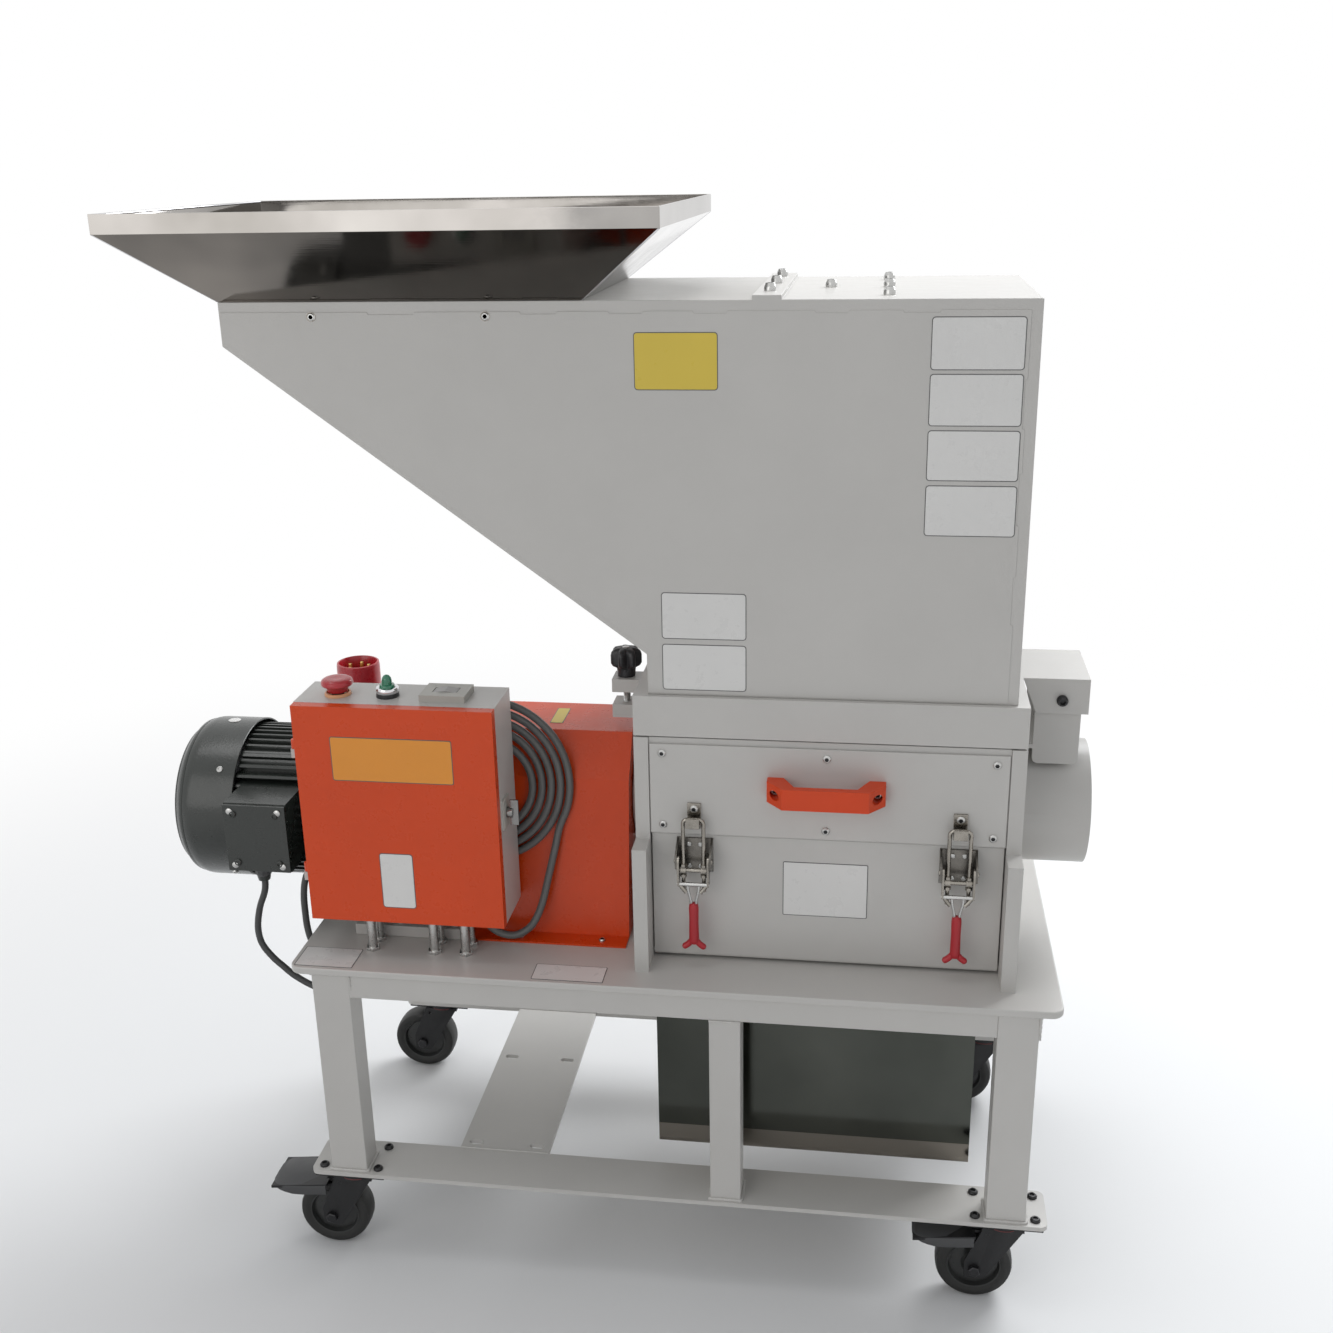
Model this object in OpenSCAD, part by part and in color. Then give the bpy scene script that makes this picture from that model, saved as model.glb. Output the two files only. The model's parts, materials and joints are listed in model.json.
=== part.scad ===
// Plastic granulator on a wheeled table: motor and gear case on the left, cutting chamber on the
// right, tilting hopper with a polished feed tray on top.
// Inner frame of the modules: x runs right from the table's left end, y runs back from its front
// edge, z runs up from the top of the table plate. machine() moves that to the part's origin.

/* [Table] */
// Length of the table plate
table_len = 980; // [960:5:1100]
// Depth of the table plate
table_depth = 500; // [490:5:560]
// Height of the plate's top above the floor
table_h = 450; // [430:5:520]
// Thickness of the table plate
plate_t = 10; // [8:1:14]
// Radius of the plate's corners
plate_corner_r = 16; // [8:1:24]

/* [Frame] */
// Width of the posts along the table
post_w = 50; // [40:1:54]
// Depth of the posts
post_d = 40; // [34:1:44]
// Width of the middle front post
mid_post_w = 40; // [34:1:50]
// Place of the middle front post from the left end
mid_post_at = 567; // [540:1:600]
// From the table's ends to the outer posts
post_inset = 28; // [24:1:30]
// From the table's edges to the posts and beams
edge_inset = 6; // [4:1:8]
// Height of the beams under the plate
beam_h = 34; // [30:1:40]
// Wall of the square tubes
tube_wall = 3; // [2:0.5:4]
// Width of the flat bottom rails
rail_w = 72; // [68:1:80]
// Thickness of the flat bottom rails
rail_t = 6; // [5:1:8]
// Height of the rails' top above the floor
rail_top_h = 135; // [133:1:140]

/* [Fan seat] */
// Place of the cross plate's middle from the left end
cross_at = 252.5; // [240:0.5:300]
// Width of the cross plate
cross_w = 125; // [115:1:140]
// Distance of the slots along the table
slot_pitch_x = 86; // [80:1:96]
// Distance of the slots front to back
slot_pitch_y = 208; // [180:1:240]
// Length of a slot
slot_len = 20; // [16:1:24]
// Width of a slot
slot_w = 9; // [8:0.5:11]
// From the cross plate's front edge to the first slots
slot_first = 14; // [12:1:24]

/* [Casters] */
// Diameter of the wheels
wheel_d = 100; // [90:1:102]
// Width of the wheels
wheel_w = 32; // [26:1:36]
// Trail of the wheel behind the swivel axis
caster_trail = 35; // [30:1:38]
// Bolt distance of the caster plates along the table
caster_pitch_x = 76; // [70:1:78]
// Bolt distance of the caster plates across the table
caster_pitch_y = 46; // [42:1:50]
// From the table's ends to the swivel axes
caster_inset = 53; // [50:1:60]

/* [Chamber] */
// From the table's left end to the chamber
chamber_left = 449; // [446:1:452]
// Width of the chamber over its side plates
chamber_w = 475; // [470:1:480]
// Thickness of the side plates
side_t = 18; // [14:1:20]
// From the table's front edge to the chamber's front
chamber_front = 74; // [72:1:76]
// Depth of the chamber
chamber_d = 332; // [328:1:336]
// Height of the chamber
chamber_h = 308; // [304:1:316]
// How far the feet of the side plates stand out, front and back
side_foot = 35; // [25:1:40]
// Height of the feet of the side plates
side_foot_h = 171; // [160:1:174]
// Thickness of the front and rear walls
wall_t = 18; // [12:1:20]
// Height of the rotor's axis
rotor_z = 175; // [174:1:178]

/* [Rotor] */
// Radius of the cutting circle
cut_r = 110; // [104:1:112]
// Radius of the shaft in its bearings
shaft_r = 30; // [26:1:32]
// Radius of the rotor's core
core_r = 56; // [50:1:62]
// Number of staggered knife rows
knife_rows = 5; // [4:1:6]
// Thickness of a rotor knife
knife_t = 12; // [10:1:14]
// Gap between the cutting circle and the fixed knives
cut_gap = 1.5; // [1:0.1:2]
// Gap between the cutting circle and the screen
screen_gap = 7; // [5:0.5:8]
// Thickness of the screen
screen_t = 4; // [3:0.5:5]
// Diameter of the screen's holes
screen_hole_d = 12; // [8:1:14]

/* [Front panels] */
// Height of the lower edge of the bolted cover
cover_z = 180; // [179:1:184]
// Height of the bolted cover
cover_h = 120; // [112:1:121]
// Thickness of the bolted cover
cover_t = 3; // [2:0.5:4]
// Thickness of the lower door
door_t = 12; // [11:0.5:13]
// How far the lower door stands back from the chamber's front
door_recess = 6; // [5:0.5:8]
// Gap round the lower door
door_gap = 1.5; // [1:0.1:2]
// Length of the bridge handle
handle_len = 144; // [120:1:160]
// Height of the bridge handle's bar
handle_bar = 27; // [20:1:30]
// How far the bridge handle stands out
handle_out = 38; // [34:1:42]
// Place of the latches from the chamber's middle
latch_at = 163; // [150:1:172]

/* [Hopper] */
// How far the hopper's overhang reaches left of the table's left end
overhang = 30; // [10:1:40]
// Height of the hopper's top above the plate
hopper_top = 831; // [800:1:860]
// Height of the overhang's upright end
overhang_h = 51; // [44:1:60]
// Height of the neck above the base
neck_h = 51; // [44:1:60]
// Height of the hopper's base
base_h = 52; // [48:1:56]
// From the base's front to the hopper's front
hopper_step = 8; // [6:1:12]
// Depth of the hopper
hopper_d = 316; // [310:1:318]
// Wall of the hopper
hopper_wall = 3; // [2:0.5:4]
// Length of the feed opening
feed_len = 433; // [400:1:460]
// How far the hopper tilts
hopper_tilt = 75; // [60:1:78]

/* [Tray] */
// Height of the tray's sloping sides
tray_h = 81; // [70:1:90]
// Height of the tray's upright rim
tray_rim_h = 22; // [16:1:26]
// Flare of the tray at its left end
tray_flare_left = 97; // [80:1:110]
// Flare of the tray at its right end
tray_flare_right = 103; // [80:1:110]
// Flare of the tray at its front
tray_flare_front = 90; // [70:1:92]
// Flare of the tray at its back
tray_flare_back = 69; // [60:1:90]
// Sheet thickness of the tray
tray_wall = 2; // [1.5:0.5:3]

/* [Drive] */
// Height of the motor's axis
motor_z = 130; // [128:1:134]
// Radius over the motor's fins
motor_r = 106; // [100:1:108]
// Radius of the fan cowl
cowl_r = 112; // [108:1:118]
// How far the fan cowl reaches left of the table's left end
motor_reach = 208; // [198:1:220]
// Length of the fan cowl
cowl_len = 93; // [84:1:98]
// Place of the gear case from the left end
gear_at = 84; // [80:1:90]
// Length of the gear case
gear_len = 131; // [125:1:132]
// Place of the drive guard from the left end
guard_at = 217; // [216:1:222]
// Length of the drive guard
guard_len = 211; // [200:1:212]
// Height of the drive guard
guard_h = 268; // [264:1:275]

/* [Control box] */
// Place of the box from the left end
box_at = 26; // [24:1:30]
// Width of the box
box_w = 257; // [250:1:262]
// Height of the box
box_h = 295; // [285:1:300]
// Depth of the box with its door
box_d = 90; // [86:1:92]
// From the table's front edge to the door's face
box_front = 32; // [28:1:36]
// Height of the box's feet
box_foot = 55; // [50:1:60]

/* [Discharge] */
// Left side of the bin from the left end
bin_at = 466; // [462:1:472]
// Width of the collecting bin
bin_w = 418; // [400:1:420]
// Front of the bin from the table's front edge
bin_front = 100; // [95:1:110]
// Depth of the bin
bin_d = 290; // [270:1:300]
// Height of the bin
bin_h = 237; // [220:1:238]
// How far the bin slides out at the back
bin_travel = 260; // [200:5:300]

/* [Power cable] */
// Diameter of the power cable
cable_d = 10; // [9:0.5:10.5]
// Radius of the outermost loop
coil_r = 112; // [108:1:114]
// Step from loop to loop
coil_step = 12.4; // [11.5:0.1:13]

/* [Hidden] */
$fn = 48;

// One overrun for every cut, one clearance for running fits, one gap for loose seats
over = 1;
run_gap = 0.05;
seat_gap = 0.3;

white_paint = [0.93, 0.93, 0.92];
orange_paint = [0.93, 0.30, 0.08];
black_paint = [0.08, 0.08, 0.09];
bright_steel = [0.75, 0.75, 0.77];
dark_steel = [0.35, 0.35, 0.36];
red_plastic = [0.72, 0.07, 0.10];

// Chamber lines
chamber_right = chamber_left + chamber_w;
inner_left = chamber_left + side_t;
inner_right = chamber_right - side_t;
chamber_mid = chamber_left + chamber_w / 2;
chamber_back = chamber_front + chamber_d;
rotor_y = chamber_front + chamber_d / 2;
front_wall_y = chamber_front + cover_t;
door_y = chamber_front + door_recess;
door_hinge = [door_y + door_t / 2, door_t / 2 + door_gap + door_gap];
door_pin_r = 3.5;
door_pin_len = 12;

// Frame lines
rail_z = rail_top_h - table_h;
beam_z = -plate_t - beam_h;
left_post_x = post_inset;
right_post_x = table_len - post_inset - post_w;
rear_post_y = table_depth - edge_inset - post_d;

// Origin: the middle of the footprint, on the floor
tray_front = chamber_front + hopper_step - tray_flare_front;
drum_len = 92;
drum_r = 81;
machine_left = -motor_reach;
machine_right = chamber_right + drum_len;
machine_front = tray_front;
origin_x = (machine_left + machine_right) / 2;
origin_y = (machine_front + table_depth) / 2;

module machine() translate([-origin_x, -origin_y, table_h]) children();

module block(a, b) translate(a) cube(b - a);

module rod_x(x0, x1, y, z, r) translate([x0, y, z]) rotate([0, 90, 0]) cylinder(h = x1 - x0, r = r);

module rod_y(y0, y1, x, z, r) translate([x, y0, z]) rotate([-90, 0, 0]) cylinder(h = y1 - y0, r = r);

module rod_z(z0, z1, x, y, r) translate([x, y, z0]) cylinder(h = z1 - z0, r = r);

// A drawing in (y, z) pulled along x
module prism_x(x0, x1) translate([x0, 0, 0]) rotate([90, 0, 90]) linear_extrude(x1 - x0) children();

// A drawing in (x, z) pulled along y
module prism_y(y0, y1) translate([0, y1, 0]) rotate([90, 0, 0]) linear_extrude(y1 - y0) children();

module rounded_sheet(w, d, r) {
    translate([r, 0]) square([w - r - r, d]);
    translate([0, r]) square([w, d - r - r]);
    for (x = [r, w - r], y = [r, d - r]) translate([x, y]) circle(r);
}

// A screw head that points along +z, with a hexagonal socket
head_socket_share = 0.55;
head_crown_share = 0.72;
module screw_head(r, h) difference() {
    rotate_extrude() polygon([[0, 0], [r, 0], [r, h / 2], [r * head_crown_share, h], [0, h]]);
    translate([0, 0, h / 2]) cylinder(h = h, r = r * head_socket_share, $fn = 6);
}

module screw_front(x, y, z, r, h) translate([x, y, z]) rotate([90, 0, 0]) screw_head(r, h);

// Table

side_gland_y = 96;
outlet_margin = 19;
outlet_back_margin = 16;

module outlet_block(z0, z1, grow) block(
    [bin_at + outlet_margin - grow, bin_front + outlet_back_margin - grow, z0],
    [bin_at + bin_w - outlet_margin + grow, bin_front + bin_d - outlet_back_margin + grow, z1]);

module table_plate() color(white_paint) machine() difference() {
    translate([0, 0, -plate_t]) linear_extrude(plate_t)
        rounded_sheet(table_len, table_depth, plate_corner_r);
    outlet_block(-plate_t - over, over, 0);
}

module tube_along_x(x0, x1, y) difference() {
    block([x0, y, beam_z], [x1, y + post_d, -plate_t]);
    block([x0 - over, y + tube_wall, beam_z + tube_wall],
        [x1 + over, y + post_d - tube_wall, -plate_t - tube_wall]);
}

module tube_along_y(x, w) difference() {
    block([x, edge_inset + post_d, beam_z], [x + w, rear_post_y, -plate_t]);
    block([x + tube_wall, edge_inset + post_d - over, beam_z + tube_wall],
        [x + w - tube_wall, rear_post_y + over, -plate_t - tube_wall]);
}

// The bin hangs by its top flanges on two angle runners
bin_flange = 12;
bin_sheet = 2;
bin_z = -62;
runner_t = 3;
runner_gap = 1;
runner_front = 84;
runner_end_gap = 2;
runner_back = rear_post_y - runner_end_gap;
runner_left = bin_at - bin_flange - runner_gap;
runner_right = bin_at + bin_w + bin_flange + runner_gap;

module runner(x_web, side) {
    web = side > 0 ? x_web : x_web - runner_t;
    block([web, runner_front, bin_z - bin_sheet - runner_t], [web + runner_t, runner_back, -plate_t]);
    foot = side > 0 ? x_web - bin_flange + runner_gap : x_web;
    block([foot, runner_front, bin_z - bin_sheet - runner_t],
        [foot + bin_flange - runner_gap, runner_back, bin_z - bin_sheet]);
}

// Flanged neck that leads the chips from the chamber into the bin
module outlet_neck() difference() {
    outlet_block(bin_z + seat_gap, -plate_t, runner_t);
    outlet_block(bin_z - over, -plate_t + over, 0);
}

cross_beam_at = runner_left - runner_t - mid_post_w;

module table_beams() color(white_paint) machine() {
    for (y = [edge_inset, rear_post_y]) tube_along_x(left_post_x + post_w, right_post_x, y);
    tube_along_y(left_post_x, post_w);
    tube_along_y(cross_beam_at, mid_post_w);
    tube_along_y(right_post_x, post_w);
    runner(runner_left, -1);
    runner(runner_right, 1);
    outlet_neck();
}

module post(x, y, w, top) difference() {
    block([x, y, rail_z], [x + w, y + post_d, top]);
    block([x + tube_wall, y + tube_wall, rail_z - over],
        [x + w - tube_wall, y + post_d - tube_wall, top + over]);
}

module frame_posts() color(white_paint) machine() {
    for (x = [left_post_x, right_post_x], y = [edge_inset, rear_post_y]) post(x, y, post_w, -plate_t);
    post(mid_post_at - mid_post_w / 2, edge_inset, mid_post_w, beam_z);
}

rail_corner_r = 10;
caster_bolt_r = 4;
caster_x = [caster_inset, table_len - caster_inset];
caster_y = [rail_w / 2, table_depth - rail_w / 2];

module caster_bolt_places() for (x = [-1, 1], y = [-1, 1])
    translate([x * caster_pitch_x / 2, y * caster_pitch_y / 2, 0]) children();

module bottom_rails() color(white_paint) machine() for (y = [0, table_depth - rail_w])
    difference() {
        translate([0, y, rail_z - rail_t]) linear_extrude(rail_t)
            rounded_sheet(table_len, rail_w, rail_corner_r);
        for (x = caster_x) translate([x, y + rail_w / 2, rail_z - rail_t - over])
            caster_bolt_places() cylinder(h = rail_t + over + over, r = caster_bolt_r + seat_gap);
    }

slot_y = rail_w + slot_first;

module slot(x, y) translate([x, y, rail_z - rail_t - over]) linear_extrude(rail_t + over + over) {
    square([slot_len - slot_w, slot_w], center = true);
    for (s = [-1, 1]) translate([s * (slot_len - slot_w) / 2, 0]) circle(slot_w / 2);
}

module cross_plate() color(white_paint) machine() difference() {
    block([cross_at - cross_w / 2, rail_w, rail_z - rail_t],
        [cross_at + cross_w / 2, table_depth - rail_w, rail_z]);
    for (x = [-1, 1], y = [0, slot_pitch_y]) slot(cross_at + x * slot_pitch_x / 2, slot_y + y);
}

// Chamber

shaft_hole_r = shaft_r + 4 * seat_gap;
knob_at = [418, 215];
knob_lug_w = 34;
knob_lug_t = 18;
lower_lug_z = 285;
upper_lug_z = 320;
knob_screw_r = 5;
knob_slot_r = 7.5;

module lug(z, hole_r) difference() {
    block([knob_at[0] - knob_lug_w / 2, knob_at[1] - knob_lug_w / 2, z],
        [chamber_left, knob_at[1] + knob_lug_w / 2, z + knob_lug_t]);
    rod_z(z - over, z + knob_lug_t + over, knob_at[0], knob_at[1], hole_r);
}

module side_outline() difference() {
    union() {
        translate([chamber_front - side_foot, 0]) square([chamber_d + 2 * side_foot, side_foot_h]);
        translate([chamber_front, 0]) square([chamber_d, chamber_h]);
    }
    translate([rotor_y, rotor_z]) circle(shaft_hole_r);
}

module side_plates() color(white_paint) machine() {
    for (x = [chamber_left, inner_right]) prism_x(x, x + side_t) side_outline();
    rod_x(inner_left, inner_left + door_pin_len, door_hinge[0], door_hinge[1], door_pin_r);
    rod_x(inner_right - door_pin_len, inner_right, door_hinge[0], door_hinge[1], door_pin_r);
    lug(lower_lug_z, knob_screw_r + run_gap);
}

// Knife seats, walls and the two ribs that carry the screen
knife_seat_h = 16;
fixed_knife_t = 18;
fixed_knife_z = 178;
front_knife_y = rotor_y - cut_r - cut_gap;
rear_knife_y = rotor_y + cut_r + cut_gap;
front_wall_back = front_wall_y + wall_t;
rear_wall_y = chamber_back - wall_t;
seat_back_off = 6;
rib_t = 12;
rib_h = 112;
rib_front = 98;
screen_r = cut_r + screen_gap;
rib_share = 0.2;

module screen_rib(x) prism_x(x - rib_t / 2, x + rib_t / 2) difference() {
    translate([rib_front, 0]) square([rear_wall_y - rib_front, rib_h]);
    translate([rotor_y, rotor_z]) circle(screen_r + screen_t + seat_gap);
}

module chamber_walls() color(white_paint) machine() {
    block([inner_left, rear_wall_y, 0], [inner_right, chamber_back, chamber_h]);
    block([inner_left, rear_knife_y + seat_back_off, fixed_knife_z - knife_seat_h],
        [inner_right, rear_wall_y, fixed_knife_z]);
    block([inner_left, front_wall_y, fixed_knife_z], [inner_right, front_wall_back, chamber_h]);
    block([inner_left, front_wall_back, fixed_knife_z + fixed_knife_t],
        [inner_right, front_knife_y - seat_back_off, fixed_knife_z + fixed_knife_t + knife_seat_h]);
    for (s = [rib_share, 1 - rib_share]) screen_rib(inner_left + s * (inner_right - inner_left));
}

// The front knife hangs under its seat, the rear one lies on its seat
knife_bevel = 8;

module fixed_knives() color(bright_steel) machine() prism_x(inner_left, inner_right) {
    polygon([[front_wall_back, fixed_knife_z], [front_knife_y, fixed_knife_z],
        [front_knife_y - knife_bevel, fixed_knife_z + fixed_knife_t],
        [front_wall_back, fixed_knife_z + fixed_knife_t]]);
    polygon([[rear_wall_y, fixed_knife_z], [rear_knife_y, fixed_knife_z],
        [rear_knife_y + knife_bevel, fixed_knife_z + fixed_knife_t],
        [rear_wall_y, fixed_knife_z + fixed_knife_t]]);
}

// Half round sieve under the rotor, held by the ribs
screen_top = 160;
screen_rows = 7;
screen_cols = 12;
screen_row_angle = 20;

module screen() color(bright_steel) machine() difference() {
    intersection() {
        rod_x(inner_left, inner_right, rotor_y, rotor_z, screen_r + screen_t);
        block([inner_left, rotor_y - cut_r * 2, 0], [inner_right, rotor_y + cut_r * 2, screen_top]);
    }
    rod_x(inner_left - over, inner_right + over, rotor_y, rotor_z, screen_r);
    for (i = [0:screen_rows - 1], k = [0:screen_cols - 1])
        translate([inner_left + (k + 0.5) * (inner_right - inner_left) / screen_cols, rotor_y, rotor_z])
            rotate([(i - (screen_rows - 1) / 2) * screen_row_angle, 0, 0])
                translate([0, 0, -screen_r - screen_t - over])
                    cylinder(h = screen_t + over + over, r = screen_hole_d / 2, $fn = 16);
}

module front_cover() color(white_paint) machine() block(
    [inner_left + door_gap, chamber_front, cover_z],
    [inner_right - door_gap, front_wall_y, cover_z + cover_h]);

// Bridge handle, drawn from above
handle_z = 248;
handle_foot = 14;
handle_end = 20;
handle_thick = 11;

module cover_handle() color(orange_paint) machine() difference() {
    translate([chamber_mid, chamber_front, handle_z - handle_bar / 2]) linear_extrude(handle_bar)
        polygon([[-handle_len / 2, 0], [-handle_len / 2, -handle_foot],
            [-handle_len / 2 + handle_end, -handle_out], [handle_len / 2 - handle_end, -handle_out],
            [handle_len / 2, -handle_foot], [handle_len / 2, 0], [handle_len / 2 - handle_end, 0],
            [handle_len / 2 - handle_end - handle_foot, handle_thick - handle_out],
            [handle_end + handle_foot - handle_len / 2, handle_thick - handle_out],
            [handle_end - handle_len / 2, 0]]);
    for (s = [-1, 1]) rod_y(chamber_front - handle_out - over, chamber_front - handle_foot / 2,
        chamber_mid + s * (handle_len - handle_end) / 2, handle_z, handle_screw_r + run_gap);
}
handle_screw_r = 6;

// Latches: a catch on the cover, a base on the door, a handle and a loop each
latch_x = [chamber_mid - latch_at, chamber_mid + latch_at];
latch_out = 16;
loop_pin_back = 3;
loop_pin_drop = 14;
latch_pivot = [chamber_front - latch_out, 150];
loop_pivot = [latch_pivot[0] + loop_pin_back, latch_pivot[1] - loop_pin_drop];
bar_r = 2.5;
hook_gap = 0.95;
bar_at = [61, 205.6];
catch_w = 17;
catch_t = 3;
catch_top = 223;
catch_low = 189;
catch_lip = 210;
catch_out = 22;

module latch_catches() color(dark_steel) machine() for (x = latch_x) difference() {
    prism_x(x - catch_w / 2, x + catch_w / 2) polygon([
        [chamber_front, catch_low], [chamber_front, catch_top], [chamber_front - catch_t, catch_top],
        [chamber_front - catch_t, bar_at[1] - bar_r - hook_gap],
        [chamber_front - catch_out + catch_t, bar_at[1] - bar_r - hook_gap],
        [chamber_front - catch_out + catch_t, catch_lip], [chamber_front - catch_out, catch_lip],
        [chamber_front - catch_out, bar_at[1] - bar_r - catch_t - catch_t],
        [chamber_front - catch_t, catch_low]]);
    rod_y(chamber_front - catch_t - over, chamber_front + over, x, catch_bolt_z, catch_bolt_r);
}
catch_bolt_z = 216;
catch_bolt_r = 3;

base_w = 46;
base_z = [127, 173];
ear_t = 2.5;
ear_out = 27;
pin_r = 2.5;
cheek_x = 18.7;
cheek_t = 2.5;
trunnion_x = [9.6, 16];
trunnion_pin_x = 19.5;
leg_x = 12.8;
ear_gap = 20.2;

module latch_base(x) difference() {
    union() {
        block([x - base_w / 2, door_y - catch_t, base_z[0]], [x + base_w / 2, door_y, base_z[1]]);
        for (s = [-1, 1]) translate([x + s * (ear_gap + ear_t / 2), 0, 0])
            prism_x(-ear_t / 2, ear_t / 2) polygon([[door_y - catch_t, base_z[0]],
                [door_y - catch_t, base_z[1]], [door_y - ear_out, base_z[1] - ear_out / 2],
                [door_y - ear_out, base_z[0] + ear_out / 2]]);
    }
    rod_x(x - base_w, x + base_w, latch_pivot[0], latch_pivot[1], pin_r + run_gap);
}

module latch_bases() color(dark_steel) machine() for (x = latch_x) latch_base(x);

// Handle: two cheeks inside the ears, two rods and a grip with a forked tip
grip_top = 92;
grip_low = 40;
grip_tip = 31;
grip_y = 57;
grip_r = 5.5;
tip_spread = 11;
tip_r = 3.5;
rod_r = 2.5;
cheek_low = 118;
rod_y0 = 54.7;
cheek_r = 7;
knee_x = 9;
knee_z = 108;

module slanted_rod(a, b, r) {
    v = b - a;
    n = norm(v);
    translate(a) rotate([0, acos(v[2] / n), atan2(v[1], v[0])]) cylinder(h = n, r = r, $fn = 16);
}

module latch_handle(x) {
    for (s = [-1, 1]) {
        rod_x(x + min(s * cheek_x, s * (ear_gap + ear_t)), x + max(s * cheek_x, s * (ear_gap + ear_t)),
            latch_pivot[0], latch_pivot[1], pin_r);
        difference() {
            translate([x + s * cheek_x, 0, 0]) prism_x(-cheek_t / 2, cheek_t / 2) {
                translate(latch_pivot) circle(cheek_r);
                translate([latch_pivot[0] - cheek_r, cheek_low])
                    square([2 * cheek_r, latch_pivot[1] - cheek_low]);
            }
            rod_x(x - base_w, x + base_w, loop_pivot[0], loop_pivot[1], pin_r + run_gap);
        }
        slanted_rod([x + s * cheek_x, rod_y0, cheek_low + cheek_t], [x + s * knee_x, rod_y0, knee_z], rod_r);
        slanted_rod([x + s * knee_x, rod_y0, knee_z + rod_r / 2], [x + s * rod_r, grip_y, grip_top - rod_r],
            rod_r);
        slanted_rod([x, grip_y, grip_low], [x + s * tip_spread, grip_y, grip_tip], tip_r);
    }
    rod_z(grip_low, grip_top, x, grip_y, grip_r);
}

module left_latch_handle() color(red_plastic) machine() latch_handle(latch_x[0]);

module right_latch_handle() color(red_plastic) machine() latch_handle(latch_x[1]);

// Loop: bent bar through two trunnions, locked by nuts
leg_low = 107;
bend_r = 6;
nut_r = 4.3;
nut_h = 4;
trunnion_r = 5;

module loop_elbow(x, s) translate([x + s * (leg_x - bend_r), bar_at[0], bar_at[1] - bend_r])
    rotate([90, 0, 0]) rotate([0, 0, s > 0 ? 0 : 90])
        rotate_extrude(angle = 90) translate([bend_r, 0]) circle(bar_r, $fn = 24);

module latch_loop(x) {
    rod_x(x - trunnion_pin_x, x + trunnion_pin_x, loop_pivot[0], loop_pivot[1], pin_r);
    rod_x(x + bend_r - leg_x, x + leg_x - bend_r, bar_at[0], bar_at[1], bar_r);
    for (s = [-1, 1]) {
        loop_elbow(x, s);
        rod_z(leg_low, bar_at[1] - bend_r, x + s * leg_x, bar_at[0], bar_r);
        rod_x(x + min(s * trunnion_x[0], s * trunnion_x[1]), x + max(s * trunnion_x[0],
            s * trunnion_x[1]), loop_pivot[0], loop_pivot[1], trunnion_r);
        for (z = [loop_pivot[1] - trunnion_r - nut_h, loop_pivot[1] + trunnion_r])
            translate([x + s * leg_x, bar_at[0], z]) cylinder(h = nut_h, r = nut_r, $fn = 6);
    }
}

module left_latch_loop() color(bright_steel) machine() latch_loop(latch_x[0]);

module right_latch_loop() color(bright_steel) machine() latch_loop(latch_x[1]);

// Lower door, rounded where it turns on its pins
door_top = cover_z - cover_t;

module front_door() color(white_paint) machine() difference() {
    prism_x(inner_left + door_gap, inner_right - door_gap) {
        translate(door_hinge) circle(door_t / 2);
        translate([door_y, door_hinge[1]]) square([door_t, door_top - door_hinge[1]]);
    }
    for (x = [inner_left, inner_right]) rod_x(x - door_pin_len - door_gap, x + door_pin_len + door_gap,
        door_hinge[0], door_hinge[1], door_pin_r + run_gap);
}

// Bearings and guards

housing_r = 70;
left_housing_t = 20;
right_housing_t = 36;
housing_neck_r = 52;

module bearing_housings() color(white_paint) machine() difference() {
    union() {
        rod_x(chamber_left - left_housing_t, chamber_left, rotor_y, rotor_z, housing_r);
        rod_x(chamber_right, chamber_right + left_housing_t, rotor_y, rotor_z, housing_r);
        rod_x(chamber_right, chamber_right + right_housing_t, rotor_y, rotor_z, housing_neck_r);
    }
    rod_x(chamber_left - 2 * left_housing_t, chamber_right + 2 * right_housing_t, rotor_y, rotor_z,
        shaft_r + run_gap);
}

guard_sheet = 2.5;
drum_flange = 12;
drum_tab_w = 24;

module drum_guard() color(white_paint) machine() {
    difference() {
        rod_x(chamber_right, chamber_right + drum_len, rotor_y, rotor_z, drum_r);
        rod_x(chamber_right - over, chamber_right + drum_len - guard_sheet, rotor_y, rotor_z,
            drum_r - guard_sheet);
    }
    for (s = [-1, 1]) difference() {
        block([chamber_right, rotor_y + s * drum_r - drum_tab_w / 2, rotor_z - drum_tab_w / 2],
            [chamber_right + guard_sheet, rotor_y + s * drum_r + drum_tab_w / 2,
            rotor_z + drum_tab_w / 2]);
        rod_x(chamber_right - over, chamber_right + drum_flange, rotor_y, rotor_z,
            drum_r - guard_sheet);
    }
}

// Folded guard over the coupling: leaning front, two chamfers, flat top
guard_foot_y = 121;
guard_knee = [153, 214];
guard_brow_y = 190;
guard_flange = 27;
guard_shaft_r = 38;

module guard_outline() polygon([[guard_foot_y, 0], guard_knee, [guard_brow_y, guard_h],
    [2 * rotor_y - guard_brow_y, guard_h], [2 * rotor_y - guard_knee[0], guard_knee[1]],
    [2 * rotor_y - guard_foot_y, 0]]);

module guard_inside() polygon([[guard_foot_y + guard_sheet, -over],
    [guard_knee[0] + guard_sheet, guard_knee[1]], [guard_brow_y, guard_h - guard_sheet],
    [2 * rotor_y - guard_brow_y, guard_h - guard_sheet],
    [2 * rotor_y - guard_knee[0] - guard_sheet, guard_knee[1]],
    [2 * rotor_y - guard_foot_y - guard_sheet, -over]]);

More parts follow.
